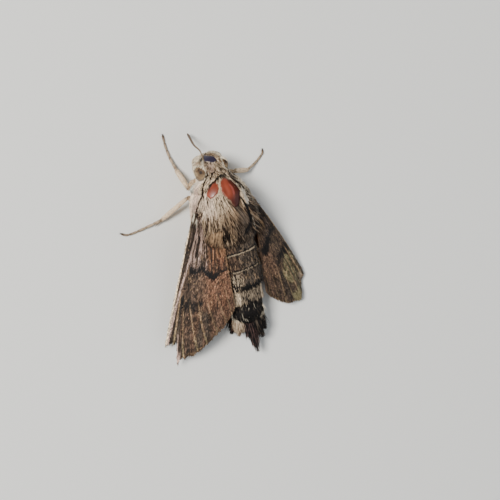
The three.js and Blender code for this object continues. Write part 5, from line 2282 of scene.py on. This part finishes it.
class Finishes:
    """Every finish on the moth."""

    def __init__(self) -> None:
        """Makes the shared groups and the materials."""
        self.groups = {"grain": grain_group(), "scale_rows": scale_rows_group()}
        self.coat = Finish("scale_hair", 0.7, 16.0, 0.7, 0.01, specular=0.25).nodes(self.groups)[0]
        self.skin = self.skin_finish()
        self.wing = self.wing_finish()
        self.leg = Finish("leg_scales", 0.62, 12.0, 0.7, 0.02, specular=0.4).nodes(self.groups)[0]
        self.feeler = Finish("feeler_rings", 0.5, 14.0, 0.6, 0.01).nodes(self.groups)[0]
        self.tongue = Finish("tongue_horn", 0.38, 10.0, 0.4, 0.008, coat=0.2).nodes(self.groups)[0]
        self.claw = Finish("claw_horn", 0.25, 14.0, 0.4, 0.004, coat=0.4).nodes(self.groups)[0]
        self.eye = self.eye_finish()

    def skin_finish(self) -> Material:
        """Dull under the coat, glossy horn on the bare plates.

        Returns:
            The material.
        """
        finish = Finish("skin_and_plates", 0.85, 9.0, 0.5, 0.02, specular=0.3)
        material, tree, node = finish.nodes(self.groups)
        bare = tree.add("Attribute", attribute_name="bare").outputs["Fac"]
        gloss = {"Roughness": tree.spread(bare, 0.85, 0.3), "Coat Weight": tree.spread(bare, 0.0, 0.1)}
        tree.join(node["shader"], gloss)
        tree.join(node["bump"], {"Strength": tree.spread(bare, 1.0, 0.12)})
        tree.join(node["grain"], {"Strength": tree.spread(bare, 0.5, 0.22)})
        return material

    def wing_finish(self) -> Material:
        """Scales in rows over the membrane, on the wing's own map.

        Returns:
            The material.
        """
        material, tree, node = Finish("wing_scales", 0.68, 7.0, 0.7, 0.02, specular=0.3).nodes(self.groups)
        chart = tree.add("UVMap", uv_map="Scales").outputs["UV"]
        rows = tree.add("Group", {
            "Tint": node["grain"].outputs["Color"], "Vector": chart, "Strength": 1.15,
        }, node_tree=self.groups["scale_rows"]).outputs
        tree.join(node["shader"], {"Base Color": rows["Color"]})
        tree.join(node["bump"], {"Height": rows["Height"]})
        return material

    def eye_finish(self) -> Material:
        """Hundreds of round facets in relief, half matte.

        Returns:
            The material.
        """
        material, tree, node = Finish("eye_facets", 0.55, 5.0, 0.5, 0.012, specular=0.2).nodes(self.groups)
        cells = tree.add("TexVoronoi", {"Vector": node["where"].outputs["Object"], "Scale": 13.0 / MM})
        tree.join(node["bump"], {"Height": tree.spread(cells.outputs["Distance"], 1.0, 0.0)})
        return material


# ---- studio
@dataclass(frozen=True)
class Lamp:
    """A soft square light: where it stands, how wide it is and how strong, and its colour."""

    name: str
    place: tuple
    width: float
    power: float
    tint: tuple = (1.0, 1.0, 1.0)


@dataclass(frozen=True)
class Studio:
    """The camera, the lights and the floor. Lengths are metres, angles degrees."""

    lens: float = 85.0
    distance: float = 0.16
    aim: tuple = (2.21, -7.6, 5.6)  # in the moth's own frame, millimetres
    lean_left: float = 22.0
    lean_ahead: float = 10.0
    roll: float = 16.5
    sky: tuple = (0.86, 0.9, 0.95, 1)
    sky_strength: float = 0.14
    floor_half: float = 1.5
    floor_paint: tuple = (0.88, 0.89, 0.87, 1)
    lamps: tuple = (
        Lamp("key", (-0.30, 0.16, 0.42), 0.13, 4.1, (1.0, 0.97, 0.92)),
        Lamp("fill", (0.40, -0.10, 0.35), 0.40, 0.5, (0.92, 0.96, 1.0)),
        Lamp("top", (0.0, -0.25, 0.50), 0.35, 0.45),
    )

    def camera(self) -> None:
        """A camera leaning to the moth's left and ahead of it, turned about its own line of sight."""
        left, ahead, roll = (math.radians(v) for v in (self.lean_left, self.lean_ahead, self.roll))
        flat = math.cos(ahead)
        look = np.array([-math.sin(left) * flat, math.sin(ahead), math.cos(left) * flat])
        up = unit(np.array([0, 1, 0]) - look * look[1])
        right = np.cross(up, look)
        upright = up * math.cos(roll) + right * math.sin(roll)
        level = right * math.cos(roll) - up * math.sin(roll)
        data = bpy.data.cameras.new("camera")
        data.lens, data.sensor_width, data.clip_start = self.lens, 36.0, 0.005
        aim = (np.array(self.aim) + shift_to_frame()) * MM
        matrix = np.eye(4)
        matrix[:3] = np.stack([level, upright, look, aim + look * self.distance], axis=1)
        camera = placed("camera", data)
        camera.matrix_world = Matrix(matrix.tolist())
        bpy.context.scene.camera = camera

    def lights(self) -> None:
        """Soft square lights that look at the moth's middle, and a pale sky."""
        for lamp in self.lamps:
            data = bpy.data.lights.new(lamp.name, "AREA")
            data.shape, data.size, data.energy, data.color = "SQUARE", lamp.width, lamp.power, lamp.tint
            light = placed(lamp.name, data)
            light.location = lamp.place
            light.rotation_euler = Vector(lamp.place).to_track_quat("Z", "Y").to_euler()
        world = bpy.data.worlds.new("sky")
        world.use_nodes = True
        Tree(world.node_tree).join(
            world.node_tree.nodes["Background"], {"Color": self.sky, "Strength": self.sky_strength})
        bpy.context.scene.world = world

    def floor(self) -> None:
        """A plain pale floor."""
        half = self.floor_half
        mesh = bpy.data.meshes.new("floor")
        corners = [(-half, -half, 0), (half, -half, 0), (half, half, 0), (-half, half, 0)]
        mesh.from_pydata(corners, [], [(0, 1, 2, 3)])
        material = bpy.data.materials.new("floor_paint")
        material.use_nodes = True
        tree = Tree(material.node_tree)
        shade = tree.spread(tree.add("TexNoise", {"Scale": 6.0}).outputs["Fac"], 0.97, 1.0)
        paint = tree.add("RGB").outputs[0]
        paint.default_value = self.floor_paint
        shader = material.node_tree.nodes["Principled BSDF"]
        tree.join(shader, {"Base Color": tree.scaled(paint, shade), "Roughness": 0.9})
        mesh.materials.append(material)
        floor = placed("floor", mesh)


def main() -> None:
    """Sets up the studio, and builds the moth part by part."""
    logging.basicConfig(level=logging.INFO, format="%(message)s")
    studio = Studio()
    studio.camera()
    studio.lights()
    studio.floor()
    finishes = Finishes()
    TRUNK.build(finishes)
    for wing in (LEFT_WING, RIGHT_WING):
        wing.build(finishes)
        Hindwing(wing).build(finishes)
    for number, leg in enumerate(LEGS):
        leg.build(finishes, number)
    claws = Shape.joined([hook for leg in LEGS for hook in leg.claws()])
    claws.painted(tint=DARK * 0.7).build("claws", finishes.claw, "leg")
    Face().build(finishes)
    TailFan().build(finishes)


if __name__ == "__main__":
    main()
